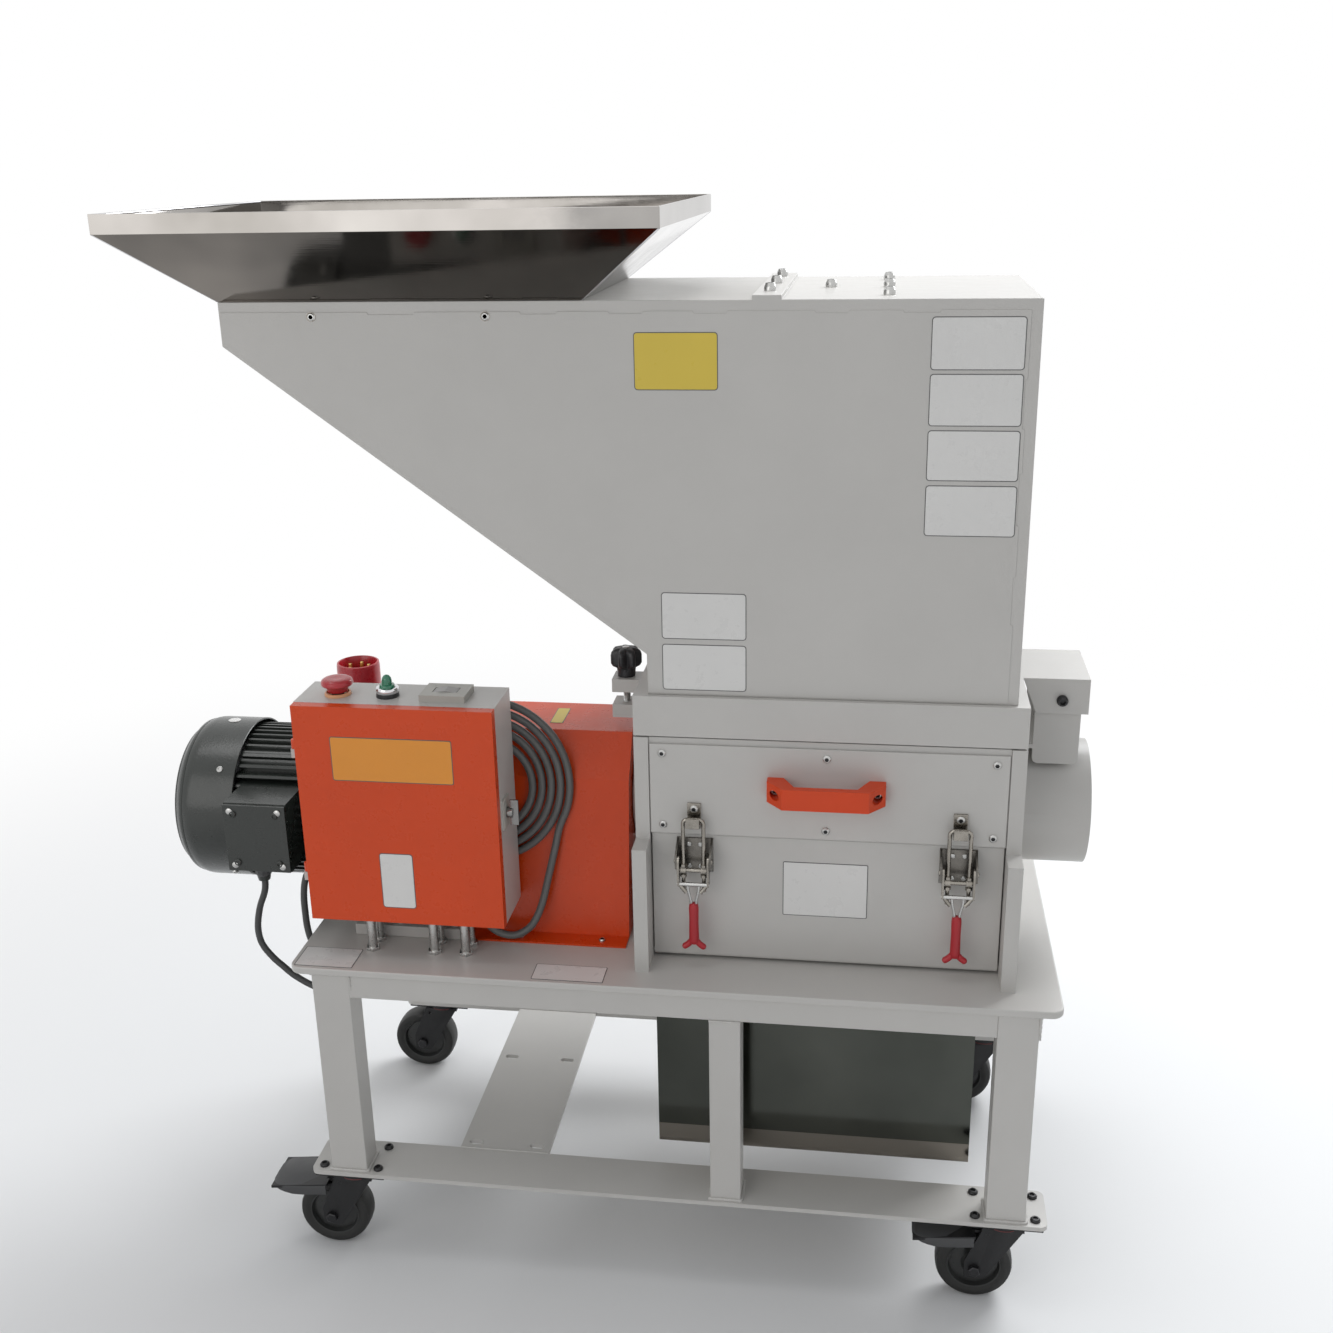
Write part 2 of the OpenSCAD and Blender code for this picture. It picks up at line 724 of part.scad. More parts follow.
module drive_guard() color(orange_paint) machine() {
    difference() {
        prism_x(guard_at, guard_at + guard_len) guard_outline();
        prism_x(guard_at + guard_sheet, guard_at + guard_len - guard_sheet) guard_inside();
        rod_x(guard_at - over, guard_at + guard_len + over, rotor_y, rotor_z, guard_shaft_r);
    }
    block([guard_at, guard_foot_y - guard_flange, 0], [guard_at + guard_len, guard_foot_y, guard_sheet]);
    block([guard_at, 2 * rotor_y - guard_foot_y, 0],
        [guard_at + guard_len, 2 * rotor_y - guard_foot_y + guard_flange, guard_sheet]);
}

// Screws that stay with the machine
cover_screw_r = 5;
cover_screw_h = 3;
cover_screw_in = 17;
cover_screw_drop = 12;
flange_screw_r = 4.5;
flange_screw_in = 68;
handle_screw_h = 5;
base_bolt_r = 8;
base_bolt_h = 7;

module panel_screws() color(bright_steel) machine() {
    for (x = [inner_left + cover_screw_in, chamber_mid, inner_right - cover_screw_in],
        z = [cover_z + cover_screw_drop, cover_z + cover_h - cover_screw_drop])
        screw_front(x, chamber_front, z, cover_screw_r, cover_screw_h);
    for (s = [-1, 1]) screw_front(chamber_mid + s * (handle_len - handle_end) / 2,
        chamber_front - handle_foot / 2, handle_z, handle_screw_r, handle_screw_h);
    for (x = latch_x) screw_front(x, chamber_front - catch_t, catch_bolt_z, cover_screw_r, cover_screw_h);
    for (x = [guard_at + flange_screw_in, guard_at + guard_len - flange_screw_in / 2],
        y = [guard_foot_y - guard_flange / 2, 2 * rotor_y - guard_foot_y + guard_flange / 2])
        translate([x, y, guard_sheet]) screw_head(flange_screw_r, cover_screw_h);
    for (x = base_bolt_x, y = [motor_base_front + base_edge, 2 * rotor_y - motor_base_front - base_edge])
        translate([x, y, motor_base_t]) screw_head(base_bolt_r, base_bolt_h);
}

// Motor and gear case

motor_base_t = 16;
motor_base_front = 92;
base_edge = 14;
base_left = 60;
base_right = 213;
base_bolt_x = [76, 120, 194];

module motor_base() color(white_paint) machine() block([base_left, motor_base_front, 0],
    [base_right, 2 * rotor_y - motor_base_front, motor_base_t]);

gear_half = 80;
gear_top = 255;
gear_chamfer = 22;
gear_foot_w = 34;
gear_foot_h = 14;
gear_bore_r = 19;
motor_flange_t = 14;
motor_flange_r = 98;

module gear_outline() polygon([[rotor_y - gear_half, motor_base_t],
    [rotor_y - gear_half, gear_top - gear_chamfer], [rotor_y - gear_half + gear_chamfer, gear_top],
    [rotor_y + gear_half - gear_chamfer, gear_top], [rotor_y + gear_half, gear_top - gear_chamfer],
    [rotor_y + gear_half, motor_base_t]]);

module gear_case() color(dark_steel) machine() difference() {
    union() {
        prism_x(gear_at, gear_at + gear_len) gear_outline();
        block([gear_at, rotor_y - gear_half - gear_foot_w, motor_base_t],
            [gear_at + gear_len - gear_foot_h, rotor_y + gear_half + gear_foot_w,
            motor_base_t + gear_foot_h]);
    }
    rod_x(gear_at + gear_len / 2, gear_at + gear_len + over, rotor_y, rotor_z, gear_bore_r + run_gap);
    rod_x(gear_at - over, gear_at + gear_len / 2 - guard_sheet, rotor_y, motor_z, gear_bore_r + run_gap);
}

motor_left = -motor_reach;
cowl_right = motor_left + cowl_len;
motor_root_r = 90;
fin_t = 3;
fin_pitch = 11;
fin_count = 8;
fin_right = 60;

module fin_outline() intersection() {
    circle(motor_r);
    union() {
        circle(motor_root_r);
        for (i = [-fin_count:fin_count]) {
            translate([0, i * fin_pitch]) square([2 * motor_r, fin_t], center = true);
            if (abs(i) < fin_count - 1) translate([i * fin_pitch, 0])
                square([fin_t, 2 * motor_r], center = true);
        }
    }
}

module motor_body() color(black_paint) machine() difference() {
    union() {
        prism_x(cowl_right, fin_right) translate([rotor_y, motor_z]) fin_outline();
        rod_x(fin_right, gear_at - motor_flange_t, rotor_y, motor_z, motor_root_r);
        rod_x(gear_at - motor_flange_t, gear_at, rotor_y, motor_z, motor_flange_r);
    }
    rod_x(cowl_right - over, gear_at + over, rotor_y, motor_z, gear_bore_r + run_gap);
}

cowl_wall = 2;
cowl_step = 14;
cowl_dome = 34;
cowl_hole_r = 62;
grille_bars = 5;
grille_bar = 5;

// Profile of the cowl along the motor's axis: radius, distance from its closed end
module cowl_profile(r, inset) polygon([[0, inset], [r - cowl_dome, inset],
    [r - cowl_step, inset + cowl_step / 2], [r - cowl_step / 2, inset + cowl_step],
    [r, inset + cowl_dome], [r, cowl_len + inset], [0, cowl_len + inset]]);

module cowl_solid(r, inset) translate([motor_left, rotor_y, motor_z]) rotate([0, 90, 0])
    rotate_extrude() cowl_profile(r, inset);

module fan_cowl() color(black_paint) machine() {
    difference() {
        cowl_solid(cowl_r, 0);
        cowl_solid(cowl_r - cowl_wall, cowl_wall);
        rod_x(motor_left - over, motor_left + cowl_step, rotor_y, motor_z, cowl_hole_r);
        block([cowl_right, rotor_y - 2 * cowl_r, motor_z - 2 * cowl_r],
            [cowl_right + 2 * cowl_wall, rotor_y + 2 * cowl_r, motor_z + 2 * cowl_r]);
    }
    for (i = [-(grille_bars - 1) / 2:(grille_bars - 1) / 2])
        let (h = sqrt(pow(cowl_hole_r + cowl_wall, 2) - pow(i * 2 * cowl_hole_r / grille_bars, 2)))
            block([motor_left, rotor_y + i * 2 * cowl_hole_r / grille_bars - grille_bar / 2, motor_z - h],
                [motor_left + cowl_wall, rotor_y + i * 2 * cowl_hole_r / grille_bars + grille_bar / 2,
                motor_z + h]);
    difference() {
        rod_x(cowl_right - cowl_step, cowl_right, rotor_y, motor_z, cowl_r - cowl_wall);
        rod_x(cowl_right - cowl_step - over, cowl_right + over, rotor_y, motor_z,
            cowl_r - cowl_wall - cowl_step);
    }
}

fan_r = 88;
fan_blades = 8;
fan_w = 36;
fan_inset = 42;
fan_at = motor_left + fan_inset;
fan_hub_r = 26;
motor_shaft_r = 14;

module motor_rotor() color(dark_steel) machine() translate([0, rotor_y, motor_z]) {
    rod_x(fan_at, gear_at + gear_len / 2 - 3 * guard_sheet, 0, 0, motor_shaft_r);
    rod_x(fan_at, fan_at + fan_w, 0, 0, fan_hub_r);
    rod_x(cowl_right, gear_at, 0, 0, gear_bore_r);
    for (i = [0:fan_blades - 1]) rotate([i * 360 / fan_blades, 0, 0])
        block([fan_at, -fin_t / 2, 0], [fan_at + fan_w, fin_t / 2, fan_r]);
}

// Terminal box on the camera side of the motor, its gland pointing down
terminal_gap = 10;
terminal = [cowl_right + terminal_gap, 84, 90];
terminal_size = [86, 66, 98];
terminal_lid_t = 6;
gland_from_left = 35;
gland_at = [terminal[0] + gland_from_left, 112];
gland_r = 13;
gland_tip_r = 8;
gland_h = 24;
motor_cable_d = 9;

module terminal_box() color(black_paint) machine() difference() {
    union() {
        difference() {
            translate(terminal) cube(terminal_size);
            rod_x(terminal[0] - over, terminal[0] + terminal_size[0] + over, rotor_y, motor_z,
                motor_r + seat_gap);
            translate([terminal[0], 0, 0]) translate([0, terminal[1] - over, 0])
                for (z = [terminal[2], terminal[2] + terminal_size[2]])
                    block([-over, 0, z - fin_t / 2], [terminal_size[0] + over, terminal_lid_t, z + fin_t / 2]);
        }
        translate([gland_at[0], gland_at[1], terminal[2] - gland_h])
            cylinder(h = gland_h, r1 = gland_tip_r, r2 = gland_r);
        for (x = [terminal[0] + base_edge, terminal[0] + terminal_size[0] - base_edge],
            z = [terminal[2] + base_edge, terminal[2] + terminal_size[2] - base_edge])
            screw_front(x, terminal[1], z, cover_screw_r, cover_screw_h);
    }
    rod_z(terminal[2] - gland_h - over, terminal[2] - gland_h / 2, gland_at[0], gland_at[1],
        motor_cable_d / 2 + run_gap);
}

// Rotor

key_gap = 2;
rotor_left = inner_left + key_gap;
rotor_right = inner_right - key_gap;
row_len = (rotor_right - rotor_left) / knife_rows;
row_twist = 24;
knives_per_row = 3;
arm_w = 38;
knife_low = core_r + 8;
knife_edge = 7;
coupling_r = 46;
coupling_gap = 4;
coupling_at = 300;
shaft_past = 10;
rotor_end = chamber_right + right_housing_t + shaft_past;

module in_rotor() translate([0, rotor_y, rotor_z]) children();

module rotor_row(i) rotate([i * row_twist, 0, 0])
    prism_x(rotor_left + i * row_len + knife_end_gap, rotor_left + (i + 1) * row_len - knife_end_gap) {
        for (k = [0:knives_per_row - 1]) rotate(k * 360 / knives_per_row)
            translate([0, -arm_w]) square([cut_r - 2 * knife_edge, arm_w]);
    }

module rotor() color(dark_steel) machine() in_rotor() {
    rod_x(coupling_at + coupling_gap / 2, rotor_end, 0, 0, shaft_r);
    rod_x(coupling_at + coupling_gap / 2, coupling_at + shaft_r + coupling_gap, 0, 0, coupling_r);
    rod_x(rotor_left, rotor_right, 0, 0, core_r);
    for (i = [0:knife_rows - 1]) rotor_row(i);
}

module knife_outline() polygon([[knife_low, 0], [cut_r - knife_edge, 0], [cut_tip, knife_t],
    [knife_low, knife_t]]);
cut_tip = sqrt(cut_r * cut_r - knife_t * knife_t);
knife_end_gap = 0.5;

module rotor_knives() color(bright_steel) machine() in_rotor() for (i = [0:knife_rows - 1])
    rotate([i * row_twist, 0, 0])
        prism_x(rotor_left + i * row_len + knife_end_gap, rotor_left + (i + 1) * row_len - knife_end_gap)
            for (k = [0:knives_per_row - 1]) rotate(k * 360 / knives_per_row) knife_outline();

module output_coupling() color(dark_steel) machine() in_rotor() {
    rod_x(gear_at + gear_len / 2 + guard_sheet, coupling_at - coupling_gap / 2, 0, 0, gear_bore_r);
    rod_x(coupling_at - shaft_r - coupling_gap, coupling_at - coupling_gap / 2, 0, 0, coupling_r);
    for (i = [0:2]) rotate([i * 120, 0, 0])
        block([coupling_at - coupling_gap, -coupling_gap, shaft_r / 2],
            [coupling_at + coupling_gap / 2, coupling_gap, coupling_r - coupling_gap]);
}

// Control box

box_right = box_at + box_w;
box_top = box_foot + box_h;
box_back = box_front + box_d;
box_sheet = 2;
box_door_t = 14;
box_shell_y = box_front + box_door_t;
box_foot_r = 6;
box_foot_y = [58, 84];
box_foot_x = [96, 180, 222];
box_hinge_r = 4;
box_hinge = [box_at - box_hinge_r, box_shell_y];
box_hinge_pin_r = 2;
knuckle_h = 24;
knuckle_z = [105, 276];
hook_r = 5;
box_gland = [238, 92];
box_gland_r = 10;
box_gland_h = 7;
side_gland_z = 96;
side_gland_len = 12;
estop_at = [73, 78];
lamp_at = [138, 78];
switch_at = [213, 82];
button_stem_r = 8;

module box_knuckles(z_shift, h) for (z = knuckle_z)
    rod_z(z + z_shift, z + z_shift + h, box_hinge[0], box_hinge[1], box_hinge_r);

module control_box() color(white_paint) machine() difference() {
    union() {
        difference() {
            block([box_at, box_shell_y, box_foot], [box_right, box_back, box_top]);
            block([box_at + box_sheet, box_shell_y - over, box_foot + box_sheet],
                [box_right - box_sheet, box_back - box_sheet, box_top - box_sheet]);
        }
        for (x = box_foot_x, y = box_foot_y) rod_z(0, box_foot, x, y, box_foot_r);
        for (z = knuckle_z) difference() {
            block([box_at - 2 * box_hinge_r, box_shell_y - box_hinge_r, z],
                [box_at, box_shell_y + box_hinge_r, z + knuckle_h / 2 - seat_gap]);
            block([box_at - box_hinge_r / 2, box_shell_y - 2 * box_hinge_r, z - over],
                [box_at + over, box_shell_y - seat_gap, z + knuckle_h]);
        }
        rod_y(box_back - box_sheet, coil_hook_y, coil_mid[0], coil_mid[1] + coil_inner_r - cable_d / 2
            - hook_r - seat_gap, hook_r);
        rod_z(box_foot - box_gland_h, box_foot, box_gland[0], box_gland[1], box_gland_r);
        rod_x(box_at - side_gland_len, box_at, side_gland_y, side_gland_z, box_gland_r);
    }
    for (z = knuckle_z) rod_z(z - over, z + knuckle_h, box_hinge[0], box_hinge[1],
        box_hinge_pin_r + run_gap);
    for (p = [estop_at, lamp_at]) rod_z(box_top - 2 * box_sheet, box_top + over, p[0], p[1],
        button_stem_r + run_gap);
    rod_z(box_foot - box_gland_h - over, box_foot - box_gland_h / 2, box_gland[0], box_gland[1],
        cable_d / 2 + run_gap);
    rod_x(box_at - side_gland_len - over, box_at - side_gland_len / 2, side_gland_y, side_gland_z,
        motor_cable_d / 2 + run_gap);
}

door_lip = 1;

module box_door() color(orange_paint) machine() {
    difference() {
        block([box_at + door_lip, box_front, box_foot], [box_right, box_shell_y - seat_gap, box_top]);
        block([box_at + door_lip + box_sheet, box_front + box_sheet, box_foot + box_sheet],
            [box_right - box_sheet, box_shell_y, box_top - box_sheet]);
    }
    for (z = knuckle_z) {
        rod_z(z + knuckle_h / 2, z + knuckle_h, box_hinge[0], box_hinge[1], box_hinge_r);
        rod_z(z, z + knuckle_h / 2 + over, box_hinge[0], box_hinge[1], box_hinge_pin_r);
        block([box_hinge[0], box_shell_y - box_hinge_r, z + knuckle_h / 2],
            [box_at + door_lip + box_sheet, box_shell_y - seat_gap - door_lip, z + knuckle_h]);
    }
}

// Wing latch on the right side, over the seam of box and door
latch_wing = [66, 203];
wing_plate = [26, 40];
wing_plate_t = 3;
wing_hub_r = 7;
wing_hub_len = 8;
wing_len = 17;
wing_t = 3.5;
wing_h = 11;

module box_latch() color(bright_steel) machine() translate([box_right, latch_wing[0], latch_wing[1]]) {
    rod_x(wing_plate_t + seat_gap, wing_plate_t + wing_hub_len, 0, 0, wing_hub_r);
    block([wing_plate_t + wing_hub_len / 2, -wing_t / 2, -wing_len],
        [wing_plate_t + wing_hub_len / 2 + wing_h, wing_t / 2, wing_len]);
}

// Mounting plate, contactor, overload relay, terminals, the switch's housing and the latch's base
panel_gap = 8;
device = [[0.12, 0.50, 0.30, 0.34], [0.46, 0.54, 0.18, 0.26], [0.68, 0.54, 0.20, 0.30],
    [0.12, 0.14, 0.76, 0.14]];
device_depth = [46, 38, 34, 22];

module box_fittings() color(dark_steel) machine() {
    block([box_at + panel_gap, box_back - box_sheet - panel_gap, box_foot + panel_gap],
        [box_right - panel_gap, box_back - box_sheet, box_top - panel_gap]);
    for (i = [0:3]) let (s = device[i])
        block([box_at + s[0] * box_w, box_back - box_sheet - panel_gap - device_depth[i],
            box_foot + s[1] * box_h - panel_gap],
            [box_at + (s[0] + s[2]) * box_w, box_back - box_sheet - panel_gap,
            box_foot + (s[1] + s[3]) * box_h - panel_gap]);
    switch_housing();
    block([box_right, latch_wing[0] - wing_plate[0] / 2, latch_wing[1] - wing_plate[1] / 2],
        [box_right + wing_plate_t, latch_wing[0] + wing_plate[0] / 2, latch_wing[1] + wing_plate[1] / 2]);
}

bezel_r = 14.5;
bezel_h = 12;
lens_r = 9;
lens_h = 16;

module pilot_lamp() color([0.1, 0.5, 0.3]) machine() {
    rod_z(box_top - 2 * box_sheet - over, box_top + over, lamp_at[0], lamp_at[1], button_stem_r);
    rod_z(box_top, box_top + bezel_h, lamp_at[0], lamp_at[1], bezel_r);
    translate([lamp_at[0], lamp_at[1], box_top + bezel_h]) rotate_extrude()
        polygon([[0, -over], [lens_r, -over], [lens_r * 0.9, lens_h * 0.6], [lens_r * 0.6, lens_h * 0.9],
            [lens_r * 0.3, lens_h], [0, lens_h]]);
}

estop_collar_r = 15;
estop_collar_h = 6;
estop_r = 20;
estop_gap = 5;
estop_h = 17;

module estop_button() color(red_plastic) machine() translate([estop_at[0], estop_at[1], box_top]) {
    rod_z(-2 * box_sheet - over, estop_gap + over, 0, 0, button_stem_r);
    rotate_extrude() polygon([[0, estop_gap], [estop_collar_r, estop_gap],
        [estop_collar_r, estop_gap + estop_collar_h], [estop_r, estop_gap + estop_collar_h + over],
        [estop_r, estop_gap + estop_h - 2 * over], [estop_r - 2 * over, estop_gap + estop_h],
        [0, estop_gap + estop_h]]);
}

switch_size = [58, 46];
switch_h = 9;
switch_well = [32, 18];
well_floor = 2;
rocker_pin_z = 5;
rocker_pin_r = 1.5;
rocker_pin_len = 21;
rocker_half = 8.8;
rocker_outline = [[-15, 3.5], [0, 5.5], [15, 3.5], [13, -0.5], [4, -2.5], [-4, -2.5], [-13, -0.5]];

module on_box_top(p) translate([p[0], p[1], box_top]) children();

module switch_housing() on_box_top(switch_at) difference() {
    translate([-switch_size[0] / 2, -switch_size[1] / 2, 0]) cube([switch_size[0], switch_size[1], switch_h]);
    translate([-switch_well[0] / 2, -switch_well[1] / 2, well_floor])
        cube([switch_well[0], switch_well[1], switch_h]);
    rod_y(-rocker_pin_len / 2 - seat_gap, rocker_pin_len / 2 + seat_gap, 0, rocker_pin_z,
        rocker_pin_r + run_gap);
}

module start_switch() color([0.6, 0.6, 0.58]) machine() on_box_top(switch_at) {
    translate([0, 0, rocker_pin_z]) prism_y(-rocker_half, rocker_half) polygon(rocker_outline);
    rod_y(-rocker_pin_len / 2, rocker_pin_len / 2, 0, rocker_pin_z, rocker_pin_r);
}

// Cables: a tube along points, with a ring of corners at each point
loop_sides = 6;
lead_sides = 8;

function unit(v) = v / norm(v);
function along(p, i) = unit(p[min(i + 1, len(p) - 1)] - p[max(i - 1, 0)]);
function ring(p, i, r, ref, n) = let (t = along(p, i), u = unit(cross(t, ref)), v = cross(u, t))
    [for (k = [0:n - 1]) p[i] + r * (cos(k * 360 / n) * u + sin(k * 360 / n) * v)];

module tube(p, r, ref, n) {
    last = len(p) - 1;
    polyhedron(points = [for (i = [0:last]) each ring(p, i, r, ref, n)],
        faces = [[for (k = [0:n - 1]) k], [for (k = [n - 1:-1:0]) last * n + k],
            for (i = [0:last - 1], k = [0:n - 1]) let (a = i * n + k, b = i * n + (k + 1) % n) each
                [[a, a + n, b], [b, a + n, b + n]]]);
}

gland_seat = 9;
motor_hang = [[0, 58], [-3, 44], [-12, 21], [-18, -9], [-15, -34], [-2, -54], [12, -68], [29, -83]];
motor_route = [[gland_at[0], gland_at[1], terminal[2] - gland_h + gland_seat],
    for (h = motor_hang) [gland_at[0] + h[0], gland_at[1], h[1]], [-14, 111, -97], [10, 109, -99], [27, 107, -88], [32, 105, -70], [23, 103, -54], [6, 101, -40],
    [-6, 100, -22], [-11, 100, 0], [-12, 100, 24], [-11, 99, 50], [-7, 98, 72],
    [0, 97, 88], [box_at - side_gland_len - 3, side_gland_y, side_gland_z - 1],
    [box_at - side_gland_len + 5, side_gland_y, side_gland_z]];

module motor_cable() color(black_paint) machine() tube(motor_route,
    motor_cable_d / 2, [0, 1, 0], lead_sides);

// The power cable: from the box's gland through a flat spiral, then to the plug
coil_mid = [240, 208];
coil_turns = 4.5;
coil_start = -30;
coil_rings = 24;
coil_lean = 0.15;
coil_low_y = 128;
coil_low_z = 91;
hook_turn_share = 1 / 6;
coil_inner_r = coil_r - (coil_turns - hook_turn_share) * coil_step;
coil_hook_y = 152;
coil_exit_turn = 0.5;
coil_exit_shift = 12;

function coil_y(z) = coil_low_y + coil_lean * (z - coil_low_z);
function coil_at(t) = let (r = coil_r - coil_step * t, a = coil_start + 360 * t,
    z = coil_mid[1] + r * sin(a), s = max(0, t - coil_turns + coil_exit_turn) / coil_exit_turn)
    [coil_mid[0] + r * cos(a), coil_y(z) - coil_exit_shift * s, z];

lead_in = [[box_gland[0], box_gland[1], box_foot - box_gland_h + 2.5], [239, 92, 40], [248, 93, 22],
    [264, 94, 12], [284, 95, 12], [303, 99, 26], [315, 108, 52], [323, 120, 88], [331, 130, 124]];
lead_out = [[176, 135, 252], [158, 139, 270], [133, 153, 280], [104, 178, 274], [90, 191, 270],
    [75, 205, 268]];
coil_points = [for (i = [0:coil_turns * coil_rings]) coil_at(i / coil_rings)];
power_route = concat(lead_in, coil_points, lead_out);

// The least gap between two loops, measured on the points
near_rings = coil_rings / 2;
echo(coil_least_gap = min([for (i = [0:len(coil_points) - near_rings - 1],
    j = [i + near_rings:len(coil_points) - 1]) norm(coil_points[i] - coil_points[j])]) - cable_d);

module power_cable() color([0.5, 0.5, 0.52]) machine() tube(power_route,
    cable_d / 2, [0, 1, coil_lean], loop_sides);

plug_at = [42, 238];
plug_r = 29;
plug_low = motor_z + motor_r + seat_gap;
plug_high = 338;
plug_skirt_r = 25;
plug_collar_h = 60;
nozzle_r = 12;

module power_plug() color(red_plastic) machine() {
    rod_z(plug_low, plug_low + plug_collar_h, plug_at[0], plug_at[1], plug_skirt_r);
    rod_z(plug_low + plug_collar_h, plug_high, plug_at[0], plug_at[1], plug_r);
    difference() {
        slanted_rod([plug_at[0], plug_at[1], lead_out[5][2]], lead_out[5], nozzle_r);
        slanted_rod([plug_at[0] + plug_r, plug_at[1] - plug_r, lead_out[5][2]],
            [lead_out[5][0] + over, lead_out[5][1] - over, lead_out[5][2]], cable_d / 2 + run_gap);
    }
}

// Hopper

base_seal_t = 2;
base_z0 = chamber_h + base_seal_t;
base_top = base_z0 + base_h;
hopper_front = chamber_front + hopper_step;
hopper_back = hopper_front + hopper_d;
hopper_left = inner_left;
hopper_right_step = 4;
hopper_right = inner_right + hopper_right_step;
neck_top = base_top + neck_h;
hinge = [973, 334];
hinge_pin_r = 5;
hinge_cap_y = [182, 298];
hinge_cap_right = 1006;
hinge_cap_low = 316;
hinge_sheet = 3;
hinge_cheek_gap = 2;

module hopper_outline(w) polygon([[w - overhang, hopper_top - w], [w - overhang,
    hopper_top - overhang_h + w / 3], [hopper_left + w, neck_top + w / 3], [hopper_left + w, base_top - (w > 0 ?
    over : 0)], [hopper_right - w, base_top - (w > 0 ? over : 0)], [hopper_right - w, hopper_top - w]]);

feed_right = feed_len - overhang;
bar_strip = [594, 627];
bar_strip_t = 5;

module hopper_shell() color(white_paint) machine() {
    difference() {
        prism_y(hopper_front, hopper_back) hopper_outline(0);
        prism_y(hopper_front + hopper_wall, hopper_back - hopper_wall) hopper_outline(hopper_wall);
        block([hopper_wall - overhang, hopper_front + hopper_wall, hopper_top - 2 * hopper_wall],
            [feed_right - hopper_wall, hopper_back - hopper_wall, hopper_top + over]);
    }
    block([bar_strip[0], hopper_front, hopper_top], [bar_strip[1], hopper_back, hopper_top + bar_strip_t]);
}

module hinge_cap() {
    block([chamber_right, hinge_cap_y[0], base_top - hinge_sheet],
        [hinge_cap_right, hinge_cap_y[1], base_top]);
    for (y = [hinge_cap_y[0], hinge_cap_y[1] - hinge_sheet]) prism_y(y, y + hinge_sheet)
        difference() {
            polygon([[chamber_right, base_top], [hinge_cap_right, base_top],
                [hinge_cap_right, hinge_cap_low], [chamber_right + side_t, hinge_cap_low]]);
            translate(hinge) circle(hinge_pin_r);
        }
    block([hinge_cap_right - hinge_sheet, hinge_cap_y[0] + 4 * hinge_sheet, hinge_cap_low + side_t],
        [hinge_cap_right, hinge_cap_y[1] - 4 * hinge_sheet, base_top]);
}

module hopper_base() color(white_paint) machine() {
    difference() {
        block([chamber_left, chamber_front, base_z0], [chamber_right, chamber_back, base_top]);
        block([hopper_left + hopper_wall, hopper_front + hopper_wall, base_z0 - over],
            [hopper_right - hopper_wall, hopper_back - hopper_wall, base_top + over]);
    }
    lug(upper_lug_z, knob_slot_r);
    hinge_cap();
}

// The fixed half of the hinge: two cheeks on a shelf that is welded to the chamber
cheek_left = 941;
cheek_right = 998;
hinge_cheek_low = 246;
hinge_cheek_r = 15;
shelf_z = 266;
cheek_corner_r = 8;
cheek_y = [hinge_cap_y[0] + hinge_sheet + hinge_cheek_gap,
    hinge_cap_y[1] - 2 * hinge_sheet - hinge_cheek_gap];

module cheek_outline() difference() {
    union() {
        translate(hinge) circle(hinge_cheek_r);
        translate([cheek_left, hinge_cheek_low]) translate([cheek_corner_r, 0])
            square([cheek_right - cheek_left - 2 * cheek_corner_r, cheek_corner_r]);
        for (x = [cheek_left + cheek_corner_r, cheek_right - cheek_corner_r])
            translate([x, hinge_cheek_low + cheek_corner_r]) circle(cheek_corner_r);
        translate([cheek_left, hinge_cheek_low + cheek_corner_r])
            square([cheek_right - cheek_left, hinge_cap_low - hinge_cheek_low - cheek_corner_r]);
        translate([hinge[0] - hinge_cheek_r, hinge_cap_low])
            square([2 * hinge_cheek_r, hinge[1] - hinge_cap_low]);
    }
    translate(hinge) circle(hinge_pin_r + run_gap);
}

module hinge_bracket() color(white_paint) machine() {
    for (y = cheek_y) prism_y(y, y + hinge_sheet) cheek_outline();
    block([chamber_right, cheek_y[0], shelf_z], [cheek_right, cheek_y[1] + hinge_sheet,
        shelf_z + 2 * hinge_sheet]);
}

// Four flared sheets and an upright rim, open below and above
tray_x = [-overhang, feed_right];
tray_y = [hopper_front, hopper_back];
tray_z = [hopper_top, hopper_top + tray_h, hopper_top + tray_h + tray_rim_h];

module tray_level(w, z, flare) translate([tray_x[0] - flare * tray_flare_left + w,
    tray_y[0] - flare * tray_flare_front + w, z]) cube([tray_x[1] - tray_x[0] - 2 * w
    + flare * (tray_flare_left + tray_flare_right), tray_y[1] - tray_y[0] - 2 * w
    + flare * (tray_flare_front + tray_flare_back), cube_skin]);
cube_skin = 0.01;

module tray_flare(w, z_low) hull() {
    tray_level(w, z_low, 0);
    tray_level(w, tray_z[1] - cube_skin, 1);
}

module feed_tray() color(bright_steel) machine() {
    difference() {
        tray_flare(0, tray_z[0]);
        tray_flare(tray_wall, tray_z[0] - cube_skin);
        tray_level(tray_wall, tray_z[1] - cube_skin, 1);
    }
    difference() {
        block([tray_x[0] - tray_flare_left, tray_y[0] - tray_flare_front, tray_z[1]],
            [tray_x[1] + tray_flare_right, tray_y[1] + tray_flare_back, tray_z[2]]);
        block([tray_x[0] - tray_flare_left + tray_wall, tray_y[0] - tray_flare_front + tray_wall,
            tray_z[1] - over], [tray_x[1] + tray_flare_right - tray_wall,
            tray_y[1] + tray_flare_back - tray_wall, tray_z[2] + over]);
    }
}

// Slit rubber curtains that stop chips from flying back, and the seal under the base
curtain_x = [608, 742];
curtain_t = 5;
curtain_low = 560;
curtain_gap = 6;
curtain_slits = 5;
slit_w = 3;
slit_top = 760;
curtain_w = hopper_d - 2 * hopper_wall - 2 * curtain_gap;

